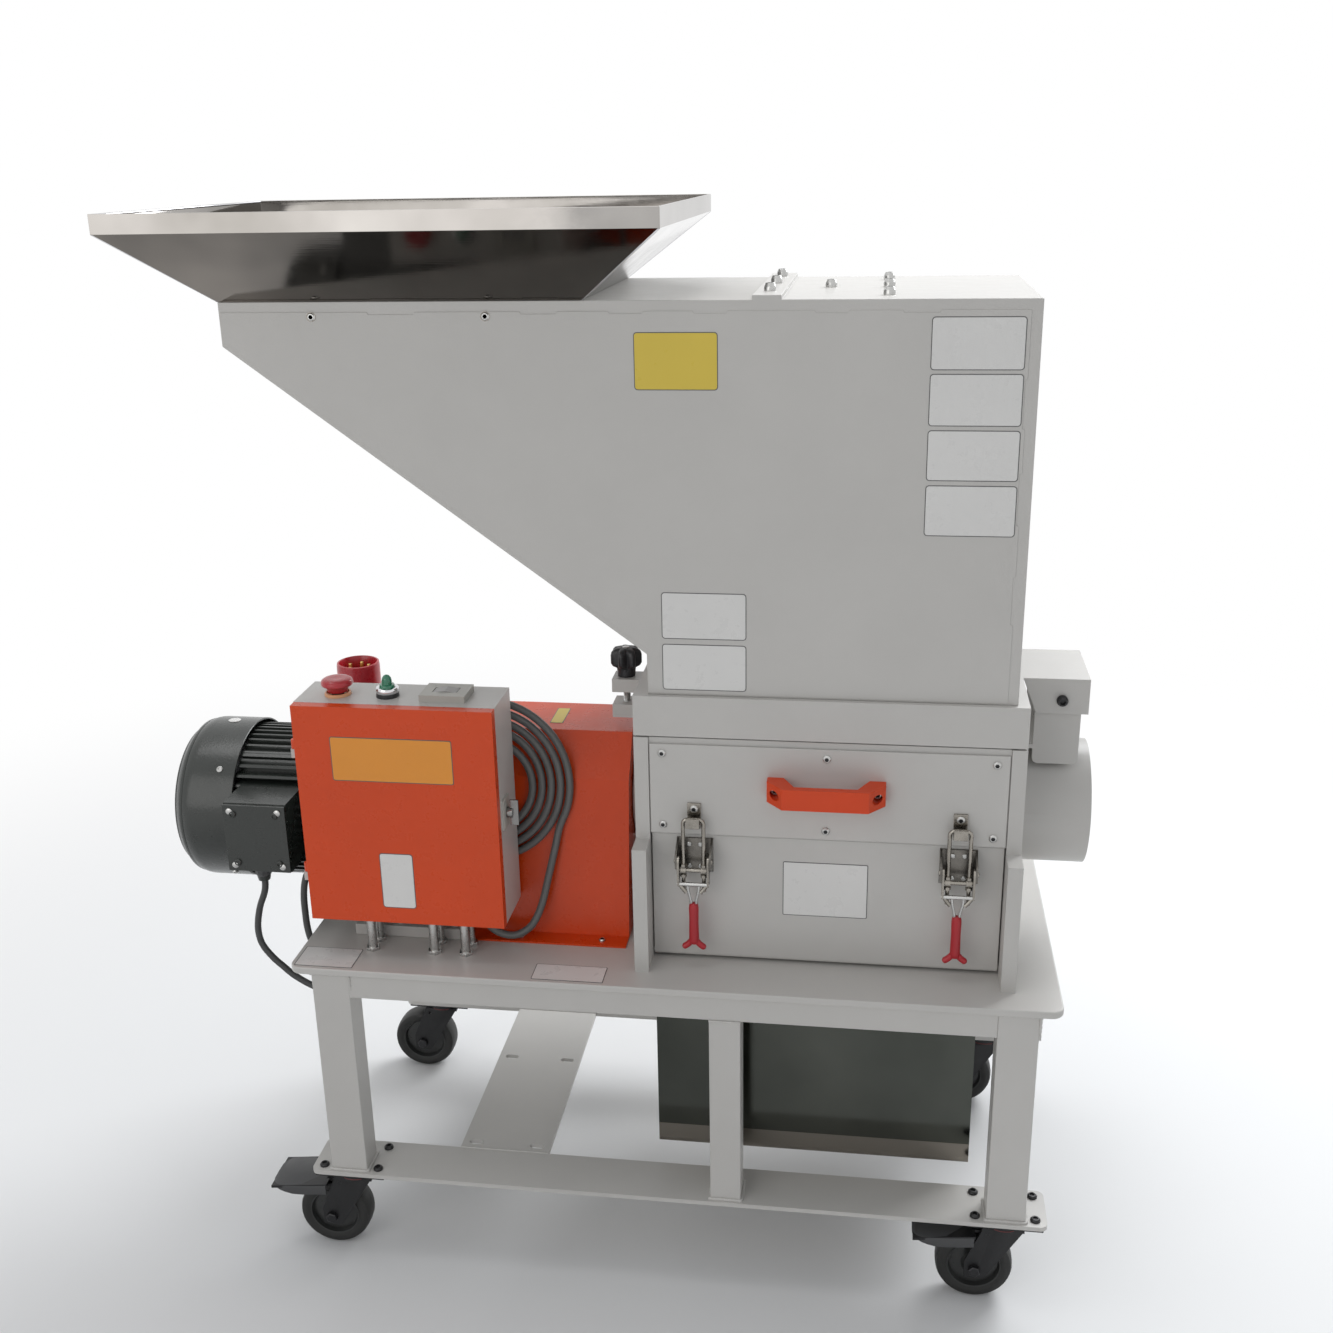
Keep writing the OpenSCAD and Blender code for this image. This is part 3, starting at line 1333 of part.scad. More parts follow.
module base_seal() difference() {
    block([chamber_left + seal_inset, chamber_front + seal_inset, chamber_h + seat_gap],
        [chamber_right - seal_inset, chamber_back - seal_inset, base_z0]);
    block([inner_left, front_wall_back - seal_inset, chamber_h - over],
        [inner_right, rear_wall_y + seal_inset, base_z0 + over]);
}
seal_inset = 3;

module hopper_rubber() color(black_paint) machine() {
    base_seal();
    for (x = curtain_x) curtain(x);
}

module curtain(x) difference() {
    block([x, hopper_front + hopper_wall + curtain_gap, curtain_low],
        [x + curtain_t, hopper_back - hopper_wall - curtain_gap, hopper_top - hopper_wall]);
    for (i = [1:curtain_slits - 1]) let (y = hopper_front + hopper_wall + curtain_gap
        + i * curtain_w / curtain_slits)
        block([x - over, y - slit_w / 2, curtain_low - over], [x + curtain_t + over, y + slit_w / 2, slit_top]);
}

bolt_rows = 3;
bolt_r = 7;
bolt_h = 9;
bolt_x = [610.5, 745];
lone_bolt = [676, 240];
wall_screw_x = [83, 290];
wall_screw_z = 814;

module hopper_bolts() color(bright_steel) machine() {
    for (i = [0:bolt_rows - 1]) let (y = hopper_front + (i + 0.5) * hopper_d / bolt_rows) {
        translate([bolt_x[0], y, hopper_top + bar_strip_t]) screw_head(bolt_r, bolt_h);
        translate([bolt_x[1], y, hopper_top]) screw_head(bolt_r, bolt_h);
    }
    translate([lone_bolt[0], lone_bolt[1], hopper_top]) screw_head(bolt_r, bolt_h);
    for (x = wall_screw_x) screw_front(x, hopper_front, wall_screw_z, cover_screw_r, cover_screw_h);
    rod_y(hinge_cap_y[0], hinge_cap_y[1], hinge[0], hinge[1], hinge_pin_r);
    screw_front(hinge[0], hinge_cap_y[0], hinge[1], bolt_r, bolt_h);
}

// Star knob with its screw
knob_z = upper_lug_z + knob_lug_t;
knob_hub_r = 12;
knob_hub_h = 14;
knob_r = 21;
knob_h = 25;
knob_lobes = 7;
knob_lobe_r = 6;
knob_top_drop = 3;

module star_knob() color(black_paint) machine() translate([knob_at[0], knob_at[1], 0]) {
    rod_z(knob_z + seat_gap, knob_z + knob_hub_h, 0, 0, knob_hub_r);
    rod_z(knob_z + knob_hub_h, knob_z + knob_hub_h + knob_h, 0, 0, knob_r - knob_lobe_r);
    for (i = [0:knob_lobes - 1]) rotate(i * 360 / knob_lobes)
        rod_z(knob_z + knob_hub_h, knob_z + knob_hub_h + knob_h - knob_top_drop,
            knob_r - knob_lobe_r, 0, knob_lobe_r);
    rod_z(lower_lug_z + seat_gap, knob_z + seat_gap, 0, 0, knob_screw_r);
}

// Bin with hanging flanges, a folded back edge and a pull handle

pull_w = 120;
pull_out = 26;
pull_r = 5;
pull_drop = 70;

module collecting_bin() color(bright_steel) machine() {
    difference() {
        block([bin_at, bin_front, bin_z - bin_h], [bin_at + bin_w, bin_front + bin_d, bin_z]);
        block([bin_at + bin_sheet, bin_front + bin_sheet, bin_z - bin_h + bin_sheet],
            [bin_at + bin_w - bin_sheet, bin_front + bin_d - bin_sheet, bin_z + over]);
    }
    for (x = [bin_at - bin_flange, bin_at + bin_w - bin_sheet])
        block([x, bin_front, bin_z - bin_sheet], [x + bin_flange + bin_sheet, bin_front + bin_d, bin_z]);
    for (s = [-1, 1]) rod_y(bin_front + bin_d, bin_front + bin_d + pull_out,
        bin_at + bin_w / 2 + s * pull_w / 2, bin_z - pull_drop, pull_r);
    rod_x(bin_at + (bin_w - pull_w) / 2 - pull_r, bin_at + (bin_w + pull_w) / 2 + pull_r,
        bin_front + bin_d + pull_out, bin_z - pull_drop, pull_r);
}

// Casters

caster_plate = [96, 66];
caster_plate_t = 4;
race_r = 26;
race_h = 8;
fork_top = rail_z - rail_t - caster_plate_t - race_h - seat_gap;
fork_t = 4;
fork_gap = 3;
fork_half = wheel_w / 2 + fork_gap;
axle_r = 5;
axle_z = wheel_d / 2 - table_h;
kingpin_r = 6;

module at_caster(i, k) translate([caster_x[i], caster_y[k], 0]) children();

module caster_plates() color(dark_steel) machine() for (i = [0, 1], k = [0, 1]) at_caster(i, k) {
    difference() {
        translate([-caster_plate[0] / 2, -caster_plate[1] / 2, rail_z - rail_t - caster_plate_t])
            cube([caster_plate[0], caster_plate[1], caster_plate_t]);
        rod_z(fork_top, rail_z, 0, 0, kingpin_r + run_gap);
    }
    difference() {
        rod_z(rail_z - rail_t - caster_plate_t - race_h, rail_z - rail_t - caster_plate_t, 0, 0, race_r);
        rod_z(fork_top, rail_z, 0, 0, kingpin_r + run_gap);
    }
    caster_bolt_places() translate([0, 0, rail_z]) screw_head(axle_r + fork_gap / 2, fork_t);
    caster_bolt_places() rod_z(rail_z - rail_t, rail_z + over, 0, 0, caster_bolt_r);
}

module fork() {
    rod_z(fork_top - fork_t, fork_top, 0, 0, race_r);
    rod_z(fork_top, rail_z - rail_t - seat_gap, 0, 0, kingpin_r);
    for (s = [-1, 1]) difference() {
        prism_y(s * fork_half - (s > 0 ? 0 : fork_t), s * fork_half + (s > 0 ? fork_t : 0)) polygon([
            [-race_r, fork_top], [race_r, fork_top], [race_r / 2 - caster_trail, axle_z - race_r / 2],
            [-race_r / 2 - caster_trail, axle_z - race_r / 2],
            [-caster_trail - race_r / 2, axle_z + race_r / 2]]);
        rod_y(-2 * fork_half, 2 * fork_half, pedal_pin[0], pedal_pin[1], pedal_pin_r + run_gap);
    }
    block([-race_r, -fork_half - fork_t, fork_top - fork_t], [race_r, fork_half + fork_t, fork_top]);
    rod_y(-fork_half - fork_t - fork_gap, fork_half + fork_t + fork_gap, -caster_trail, axle_z, axle_r);
}

hub_r = 16;
hub_w = wheel_w + fork_gap;
tread_in = 8;
rim_depth = 6;

module wheel() translate([-caster_trail, 0, axle_z]) rotate([90, 0, 0]) rotate_extrude() polygon([
    [axle_r + run_gap, -hub_w / 2], [hub_r, -hub_w / 2], [hub_r, rim_depth - wheel_w / 2],
    [wheel_d / 2 - 2 * tread_in, rim_depth - wheel_w / 2], [wheel_d / 2 - tread_in, -wheel_w / 2],
    [wheel_d / 2 - tread_in / 4, tread_in / 2 - wheel_w / 2], [wheel_d / 2, 0],
    [wheel_d / 2 - tread_in / 4, wheel_w / 2 - tread_in / 2], [wheel_d / 2 - tread_in, wheel_w / 2],
    [wheel_d / 2 - 2 * tread_in, wheel_w / 2 - rim_depth], [hub_r, wheel_w / 2 - rim_depth],
    [hub_r, hub_w / 2], [axle_r + run_gap, hub_w / 2]]);

// Brake pedal between the fork's crown and the wheel
pedal_pin = [-20, -343.4];
pedal_pin_r = 2.5;
pedal_half = 31;
pedal_reach = 116;
pedal_t = 4;
pedal_drop = 7;
pedal_root_x = -36;

module pedal() {
    rod_y(-fork_half - fork_t, fork_half + fork_t, pedal_pin[0], pedal_pin[1], pedal_pin_r);
    prism_y(-fork_half + fork_gap / 2, fork_half - fork_gap / 2) polygon([
        [pedal_pin[0] + pedal_t, pedal_pin[1] - pedal_t / 2],
        [pedal_pin[0] + pedal_t, pedal_pin[1] + pedal_t / 2],
        [pedal_root_x - pedal_t, pedal_pin[1] + pedal_t / 2],
        [pedal_root_x - pedal_t, pedal_pin[1] - pedal_t / 2]]);
    prism_y(-pedal_half, pedal_half) polygon([[pedal_root_x, pedal_pin[1] + pedal_t / 2],
        [pedal_root_x, pedal_pin[1] - pedal_t / 2],
        [-pedal_reach, pedal_pin[1] - pedal_drop - pedal_t], [-pedal_reach, pedal_pin[1] - pedal_drop]]);
}

module fork_front_left() color(black_paint) machine() at_caster(0, 0) fork();
module fork_front_right() color(black_paint) machine() at_caster(1, 0) fork();
module fork_rear_left() color(black_paint) machine() at_caster(0, 1) fork();
module fork_rear_right() color(black_paint) machine() at_caster(1, 1) fork();
module wheel_front_left() color(black_paint) machine() at_caster(0, 0) wheel();
module wheel_front_right() color(black_paint) machine() at_caster(1, 0) wheel();
module wheel_rear_left() color(black_paint) machine() at_caster(0, 1) wheel();
module wheel_rear_right() color(black_paint) machine() at_caster(1, 1) wheel();
module pedal_left() color(black_paint) machine() at_caster(0, 0) pedal();
module pedal_right() color(black_paint) machine() at_caster(1, 0) pedal();

table_plate();
table_beams();
frame_posts();
bottom_rails();
cross_plate();
side_plates();
chamber_walls();
front_cover();
panel_screws();
cover_handle();
latch_catches();
fixed_knives();
screen();
bearing_housings();
drum_guard();
drive_guard();
control_box();
box_fittings();
pilot_lamp();
motor_body();
fan_cowl();
terminal_box();
motor_base();
gear_case();
hinge_bracket();
caster_plates();
motor_cable();
power_cable();
power_plug();
hopper_shell();
hopper_base();
feed_tray();
hopper_rubber();
hopper_bolts();
star_knob();
front_door();
latch_bases();
left_latch_handle();
right_latch_handle();
left_latch_loop();
right_latch_loop();
rotor();
rotor_knives();
output_coupling();
motor_rotor();
box_door();
box_latch();
estop_button();
start_switch();
collecting_bin();
fork_front_left();
fork_front_right();
fork_rear_left();
fork_rear_right();
wheel_front_left();
wheel_front_right();
wheel_rear_left();
wheel_rear_right();
pedal_left();
pedal_right();
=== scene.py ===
# Plastic granulator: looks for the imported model, camera at the photograph's angle
import json
import math

import bmesh
import bpy
from mathutils import Matrix, Vector


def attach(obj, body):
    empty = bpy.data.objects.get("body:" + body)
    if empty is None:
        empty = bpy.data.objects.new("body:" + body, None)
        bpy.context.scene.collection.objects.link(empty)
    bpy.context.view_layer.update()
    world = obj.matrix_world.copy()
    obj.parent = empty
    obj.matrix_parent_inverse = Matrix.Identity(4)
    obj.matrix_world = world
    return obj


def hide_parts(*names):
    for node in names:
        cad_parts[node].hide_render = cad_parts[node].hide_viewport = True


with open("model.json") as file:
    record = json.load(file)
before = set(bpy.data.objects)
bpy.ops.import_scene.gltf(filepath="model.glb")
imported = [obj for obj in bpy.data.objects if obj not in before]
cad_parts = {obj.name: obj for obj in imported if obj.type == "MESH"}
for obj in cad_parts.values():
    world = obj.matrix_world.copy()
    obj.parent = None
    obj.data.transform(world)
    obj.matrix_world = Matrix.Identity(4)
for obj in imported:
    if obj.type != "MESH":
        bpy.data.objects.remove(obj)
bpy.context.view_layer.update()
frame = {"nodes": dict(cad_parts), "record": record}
nodes = frame["nodes"]
body_of_node = {n: b for b, ns in frame["record"]["behaviour"]["bodies"].items() for n in ns}
scene = bpy.context.scene


MM = 1000
MID_X, MID_Y, TABLE_H = 404.0, 246, 450


def bench(x, y, z):
    """Bench millimetres (as in part.scad) to the row frame in metres."""
    return Vector(((x - MID_X) / MM, (y - MID_Y) / MM, (z + TABLE_H) / MM))


# Camera, fitted to the photograph
PHOTO_PX, FOCAL_PX, SENSOR_MM = 1333, 1476.0, 36
EYE = (737.8, -1590.2, 982.7)
yaw, pitch, roll = -0.1466, -0.3329, -0.01897
fwd0 = Vector((math.sin(yaw), math.cos(yaw), 0))
right0 = Vector((math.cos(yaw), -math.sin(yaw), 0))
fwd = fwd0 * math.cos(pitch) + Vector((0, 0, 1)) * math.sin(pitch)
up0 = -fwd0 * math.sin(pitch) + Vector((0, 0, 1)) * math.cos(pitch)
right = right0 * math.cos(roll) + up0 * math.sin(roll)
up = -right0 * math.sin(roll) + up0 * math.cos(roll)
cam_data = bpy.data.cameras.new("camera")
cam = bpy.data.objects.new("camera", cam_data)
scene.collection.objects.link(cam)
cam_data.sensor_width = SENSOR_MM
cam_data.lens = SENSOR_MM * FOCAL_PX / PHOTO_PX
cam_data.clip_end = 60
m = Matrix((right, up, -fwd)).transposed().to_4x4()
m.translation = bench(*EYE)
cam.matrix_world = m
scene.camera = cam
scene.view_settings.view_transform = "Standard"


# Materials

def new_mat(name):
    """New material, its node tree and its shader."""
    mat = bpy.data.materials.new(name)
    mat.use_nodes = True
    nt = mat.node_tree
    return mat, nt, nt.nodes["Principled BSDF"]


def node(nt, kind, **vals):
    """New node; each value goes to the input or the setting of that name."""
    n = nt.nodes.new(kind)
    for k, v in vals.items():
        if k in n.inputs:
            n.inputs[k].default_value = v
        else:
            setattr(n, k, v)
    return n


def coords(nt, scale=(1, 1, 1)):
    """Object coordinates, stretched by scale."""
    tc = nt.nodes.new("ShaderNodeTexCoord")
    mp = nt.nodes.new("ShaderNodeMapping")
    mp.inputs["Scale"].default_value = scale
    nt.links.new(tc.outputs["Object"], mp.inputs["Vector"])
    return mp.outputs["Vector"]


def ramp(nt, fac, stops):
    """Colour or grey ramp over fac, through stops of (place, colour)."""
    r = nt.nodes.new("ShaderNodeValToRGB")
    els = r.color_ramp.elements
    while len(els) < len(stops):
        els.new(0.5)
    for e, (p, c) in zip(els, stops):
        e.position = p
        e.color = (*c, 1) if len(c) == 3 else (c[0], c[0], c[0], 1)
    nt.links.new(fac, r.inputs["Fac"])
    return r.outputs["Color"]


def shade(c, k):
    """Colour c made lighter or darker by the factor k."""
    return tuple(min(1, x * k) for x in c)


def surface(name, color, rough=0.4, metal=0.0, vary=0.05, vary_scale=7, grain=700, bump=0.15,
            depth=0.0003, coat=0.0, stretch=(1, 1, 1), rough_vary=0.06, painted_reflection_patches=None, spec=0.5):
    """Painted, moulded or metal surface: slow colour drift, roughness drift and a fine bump;
    painted_reflection_patches swaps the drift for big patches of painted reflection.
    """
    mat, nt, p = new_mat(name)
    v = coords(nt)
    slow = node(nt, "ShaderNodeTexNoise", Scale=vary_scale, Detail=4.0, Roughness=0.55)
    nt.links.new(v, slow.inputs["Vector"])
    stops = [(0.3, shade(color, 1 - vary)), (0.7, shade(color, 1 + vary))]
    # Dark and light stops in big noise patches: painted reflection on mirror steel
    if painted_reflection_patches:
        stops = [(0.25, painted_reflection_patches[0]), (0.5, color), (0.75, painted_reflection_patches[1])]
    nt.links.new(ramp(nt, slow.outputs["Fac"], stops), p.inputs["Base Color"])
    mid = node(nt, "ShaderNodeTexNoise", Scale=vary_scale * 6, Detail=6.0, Roughness=0.7)
    nt.links.new(v, mid.inputs["Vector"])
    nt.links.new(ramp(nt, mid.outputs["Fac"], [(0.3, (max(0.02, rough - rough_vary),)),
                                              (0.75, (min(1, rough + rough_vary),))]),
                 p.inputs["Roughness"])
    fine = node(nt, "ShaderNodeTexNoise", Scale=grain, Detail=2.0)
    nt.links.new(coords(nt, stretch), fine.inputs["Vector"])
    b = node(nt, "ShaderNodeBump", Strength=bump, Distance=depth)
    nt.links.new(fine.outputs["Fac"], b.inputs["Height"])
    nt.links.new(b.outputs["Normal"], p.inputs["Normal"])
    p.inputs["Metallic"].default_value = metal
    p.inputs["Coat Weight"].default_value = coat
    p.inputs["Coat Roughness"].default_value = 0.12
    p.inputs["Specular IOR Level"].default_value = spec
    return mat


WHITE = (0.56, 0.545, 0.52)
looks = {}
looks["white"] = surface("white_powder_coat", WHITE, 0.36, vary=0.025, grain=520, bump=0.25, depth=0.0004)
looks["white_cast"] = surface("white_painted_plate", shade(WHITE, 0.98), 0.42, vary=0.03, grain=300,
                              bump=0.3, depth=0.0005)
looks["orange"] = surface("orange_powder_coat", (0.68, 0.062, 0.006), 0.30, vary=0.04, grain=520,
                          bump=0.25, depth=0.0004, coat=0.05, spec=0.35)
looks["orange_plastic"] = surface("orange_moulded_plastic", (0.68, 0.058, 0.007), 0.42, vary=0.05,
                                  grain=900, bump=0.3, depth=0.0002, spec=0.4)
looks["motor"] = surface("motor_enamel", (0.020, 0.024, 0.021), 0.30, vary=0.12, grain=260, bump=0.5,
                         depth=0.0005, coat=0.2)
looks["gear"] = surface("gear_case_enamel", (0.16, 0.17, 0.175), 0.42, vary=0.08, grain=180, bump=0.6,
                        depth=0.0007)
looks["cast"] = surface("oiled_steel", (0.13, 0.13, 0.135), 0.38, 0.85, vary=0.2, grain=400, bump=0.3,
                        stretch=(1, 8, 8))
looks["zinc"] = surface("zinc_plated_steel", (0.50, 0.50, 0.49), 0.30, 1.0, vary=0.08, vary_scale=40,
                        grain=900, bump=0.2)
# Black oxide steel; also painted shade in the key sockets of screw heads
looks["black_oxide_and_socket_shade"] = surface("black_oxide_steel_and_socket_shade", (0.035, 0.035, 0.037), 0.35, 0.7, vary=0.1,
                               vary_scale=40)
looks["latch"] = surface("latch_steel", (0.30, 0.28, 0.25), 0.27, 1.0, vary=0.18, vary_scale=60,
                         grain=900, bump=0.25)
looks["latch_dark"] = surface("latch_base_steel", (0.17, 0.16, 0.145), 0.30, 1.0, vary=0.18,
                              vary_scale=60, grain=900, bump=0.25)
looks["knife"] = surface("ground_tool_steel", (0.52, 0.52, 0.53), 0.26, 1.0, vary=0.06, grain=600,
                         bump=0.4, stretch=(0.05, 1, 1))
looks["chrome"] = surface("chrome_plate", (0.66, 0.66, 0.68), 0.10, 1.0, vary=0.03, rough_vary=0.04,
                          bump=0.04)
looks["chrome_dark"] = surface("die_cast_chrome", (0.24, 0.235, 0.23), 0.16, 1.0, vary=0.1, vary_scale=60,
                               bump=0.08)
# Tray mirror steel: base darkened and patched as painted reflection of dark surroundings
looks["tray"] = surface("mirror_stainless", (0.33, 0.315, 0.30), 0.085, 1.0, vary=0.1, vary_scale=3.5,
                        grain=500, bump=0.05, stretch=(0.04, 1, 1), rough_vary=0.05,
                        painted_reflection_patches=((0.20, 0.19, 0.175), (0.46, 0.445, 0.425)))
# Bin mirror steel: painted dark, with patches of painted reflection
looks["bin"] = surface("mirror_stainless_bin", (0.085, 0.090, 0.080), 0.12, 1.0, vary=0.1, vary_scale=3,
                       grain=500, bump=0.05, stretch=(1, 1, 0.04), rough_vary=0.05,
                       painted_reflection_patches=((0.055, 0.060, 0.052), (0.12, 0.125, 0.11)))
looks["bin_foot"] = surface("mirror_stainless_foot_painted_reflection", (0.30, 0.28, 0.25), 0.14, 1.0, vary=0.1,
                            vary_scale=3, grain=500, bump=0.05, stretch=(1, 1, 0.04), rough_vary=0.05)
# Shaded and lit copies of the tray's mirror steel: painted reflection on its flanks
looks["tray_painted_dark_reflection"] = surface("mirror_stainless_shaded", (0.125, 0.115, 0.105), 0.085, 1.0, vary=0.1,
                             vary_scale=2.2, grain=500, bump=0.05, stretch=(0.04, 1, 1), rough_vary=0.04,
                             painted_reflection_patches=((0.045, 0.045, 0.04), (0.26, 0.235, 0.21)))
looks["tray_painted_window_reflection"] = surface("mirror_stainless_lit", (0.66, 0.66, 0.66), 0.10, 1.0, vary=0.06,
                               vary_scale=4, grain=500, bump=0.05, stretch=(1, 0.04, 1), rough_vary=0.04)
looks["screen"] = surface("sieve_steel", (0.42, 0.42, 0.42), 0.35, 1.0, vary=0.1, grain=600, bump=0.3)
looks["red"] = surface("red_moulded_plastic", (0.46, 0.014, 0.024), 0.30, vary=0.05, grain=1200, bump=0.1,
                       coat=0.2)
looks["grip"] = surface("red_dipped_vinyl", (0.40, 0.010, 0.018), 0.36, vary=0.08, grain=900, bump=0.2)
looks["green"] = surface("green_lens", (0.005, 0.20, 0.10), 0.10, vary=0.1, bump=0.03, coat=0.6)
looks["amber"] = surface("pale_orange_plastic", (0.80, 0.42, 0.22), 0.35, vary=0.04)
looks["grey_plastic"] = surface("grey_switch_plastic", (0.34, 0.33, 0.32), 0.40, vary=0.04, grain=1100,
                                bump=0.2)
looks["dark_grey"] = surface("dark_grey_plastic", (0.055, 0.056, 0.058), 0.45, vary=0.06, grain=1100,
                             bump=0.25)
looks["black_plastic"] = surface("black_moulded_plastic", (0.018, 0.018, 0.020), 0.42, vary=0.15,
                                 grain=900, bump=0.4)
looks["rubber"] = surface("black_rubber", (0.022, 0.021, 0.020), 0.62, vary=0.2, vary_scale=20, grain=600,
                          bump=0.5)
looks["cable_grey"] = surface("grey_cable_sheath", (0.125, 0.128, 0.125), 0.48, vary=0.08, vary_scale=20,
                              grain=500, bump=0.3)
looks["cable_black"] = surface("dark_cable_sheath", (0.055, 0.056, 0.056), 0.50, vary=0.08, grain=500,
                               bump=0.3)
looks["caster"] = surface("black_zinc_fork", (0.016, 0.016, 0.017), 0.36, 0.3, vary=0.15, vary_scale=30,
                          grain=500, bump=0.3)
looks["tyre"] = surface("caster_tread", (0.011, 0.011, 0.010), 0.5, vary=0.2, vary_scale=30, grain=500,
                        bump=0.4)
looks["hub"] = surface("caster_hub_plastic", (0.024, 0.025, 0.024), 0.32, vary=0.12, vary_scale=30)
looks["swivel_red"] = surface("dark_red_seal", (0.16, 0.012, 0.014), 0.45, vary=0.1)
looks["plate_pale"] = surface("blank_plate_pale", (0.74, 0.73, 0.71), 0.30, vary=0.02, grain=60,
                              bump=0.02)
looks["plate_edge"] = surface("blank_plate_edge", (0.10, 0.10, 0.10), 0.35, vary=0.05, grain=60,
                              bump=0.02)
looks["plate_yellow"] = surface("blank_plate_yellow", (0.72, 0.54, 0.07), 0.32, vary=0.03, bump=0.05)
looks["plate_amber"] = surface("blank_plate_amber", (0.80, 0.30, 0.03), 0.32, vary=0.03, bump=0.05)
looks["copper"] = surface("terminal_brass", (0.62, 0.42, 0.14), 0.30, 1.0, vary=0.08)
looks["device"] = surface("switchgear_plastic", (0.48, 0.47, 0.43), 0.45, vary=0.04, grain=900)


def placed(ob, mat, body):
    """The piece rides on its body; the finish mat is not used."""
    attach(ob, body)
    return ob


# Mesh helpers

def add(name, mesh, mat, body, bevel=0.0, segs=2, angle=35):
    """Piece of mesh with its look, smooth up to angle degrees and with a bevel in metres."""
    ob = bpy.data.objects.new(name, mesh)
    scene.collection.objects.link(ob)
    mesh.materials.clear()
    mesh.materials.append(looks[mat])
    for f in mesh.polygons:
        f.use_smooth = True
    mesh.set_sharp_from_angle(angle=math.radians(angle))
    if bevel:
        b = ob.modifiers.new("bevel", "BEVEL")
        b.width = bevel
        b.segments = segs
        b.limit_method = "ANGLE"
        b.angle_limit = math.radians(angle)
        b.harden_normals = True
    return placed(ob, mat, body)


def from_bm(bm, name):
    """Mesh from bm, its faces turned outwards."""
    me = bpy.data.meshes.new(name)
    bmesh.ops.recalc_face_normals(bm, faces=bm.faces[:])
    bm.to_mesh(me)
    bm.free()
    return me


MERGE, FLAT = 2e-6, math.radians(0.6)


def finished(name, mat, bevel=0.0008, segs=2, angle=38):
    """The node's own form with broken edges; it stands for the node."""
    bm = bmesh.new()
    bm.from_mesh(nodes[name].data)
    bmesh.ops.remove_doubles(bm, verts=bm.verts[:], dist=MERGE)
    bmesh.ops.dissolve_limit(bm, angle_limit=FLAT, verts=bm.verts[:], edges=bm.edges[:])
    me = from_bm(bm, name + "_finished")
    ob = add(name + "_finished", me, mat, body_of_node[name], bevel, segs, angle)
    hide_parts(name)
    return ob


def islands(bm):
    """Groups of faces that hang together."""
    seen = set()
    for f in bm.faces:
        if f in seen:
            continue
        seen.add(f)
        stack, found = [f], []
        while stack:
            g = stack.pop()
            found.append(g)
            for e in g.edges:
                for h in e.link_faces:
                    if h not in seen:
                        seen.add(h)
                        stack.append(h)
        yield found


SOCKET_SHARE, HEAD_NEAR = 0.6, 0.012


def socket_shade_and_black_heads(ob, mat="black_oxide_and_socket_shade", whole=None):
    """Key sockets in the screw heads take the dark finish as painted shade in the recess, and the whole
    head before a point takes it as its own black finish.
    """
    ob.data.materials.append(looks[mat])
    bm = bmesh.new()
    bm.from_mesh(ob.data)
    for found in islands(bm):
        vs = {v for g in found for v in g.verts}
        lo = Vector([min(v.co[i] for v in vs) for i in range(3)])
        hi = Vector([max(v.co[i] for v in vs) for i in range(3)])
        size, mid = hi - lo, (lo + hi) / 2
        ax = min(range(3), key=lambda i: size[i])
        r = max(size) / 2
        for g in found:
            c = g.calc_center_median()
            near = (whole is not None and c.y < whole.y
                    and math.hypot(c.x - whole.x, c.z - whole.z) < HEAD_NEAR)
            if near or all(math.hypot(*[v.co[i] - mid[i] for i in range(3) if i != ax]) < SOCKET_SHARE * r
                           for v in g.verts):
                g.material_index = 1
    bm.to_mesh(ob.data)
    bm.free()


def lathe(name, prof, at, axis, mat, body, n=48, bevel=0.0, angle=35):
    """Profile of (radius, height) in mm turned about an axis through a bench point."""
    axis = Vector(axis).normalized()
    side = axis.orthogonal().normalized()
    other = axis.cross(side)
    bm = bmesh.new()
    angles = [math.radians(360.0 * k / n) for k in range(n)]
    rings = []
    for r, h in prof:
        c = bench(*at) + axis * (h / MM)
        if r <= 1e-6:
            rings.append([bm.verts.new(c)])
        else:
            rings.append([bm.verts.new(c + (side * math.cos(a) + other * math.sin(a)) * (r / MM))
                          for a in angles])
    for a, b in zip(rings, rings[1:]):
        for k in range(n):
            j = (k + 1) % n
            if len(a) == 1 and len(b) == 1:
                continue
            if len(a) == 1:
                bm.faces.new((a[0], b[k], b[j]))
            elif len(b) == 1:
                bm.faces.new((a[k], b[0], a[j]))
            else:
                bm.faces.new((a[k], b[k], b[j], a[j]))
    return add(name, from_bm(bm, name), mat, body, bevel, 2, angle)


def box(name, lo, hi, mat, body, bevel=0.5, segs=2):
    """Block between two bench corners."""
    bm = bmesh.new()
    a, b = bench(*lo), bench(*hi)
    vs = [bm.verts.new((x, y, z)) for x in (a.x, b.x) for y in (a.y, b.y) for z in (a.z, b.z)]
    for f in ((0, 1, 3, 2), (4, 6, 7, 5), (0, 4, 5, 1), (2, 3, 7, 6), (0, 2, 6, 4), (1, 5, 7, 3)):
        bm.faces.new([vs[i] for i in f])
    return add(name, from_bm(bm, name), mat, body, bevel / MM, segs)


def prism(name, pts, to3, depth, mat, body, bevel=0.4, segs=2, angle=35):
    """Outline pts (mm) placed by to3(a, b, d) at depths depth[0] and depth[1]."""
    bm = bmesh.new()
    lo = [bm.verts.new(bench(*to3(a, b, depth[0]))) for a, b in pts]
    hi = [bm.verts.new(bench(*to3(a, b, depth[1]))) for a, b in pts]
    bm.faces.new(lo)
    bm.faces.new(hi[::-1])
    n = len(pts)
    for i in range(n):
        bm.faces.new((lo[i], hi[i], hi[(i + 1) % n], lo[(i + 1) % n]))
    return add(name, from_bm(bm, name), mat, body, bevel / MM, segs, angle)


def on_front(a, b, d):
    """Outline drawn on a front, depth to the rear."""
    return (a, d, b)


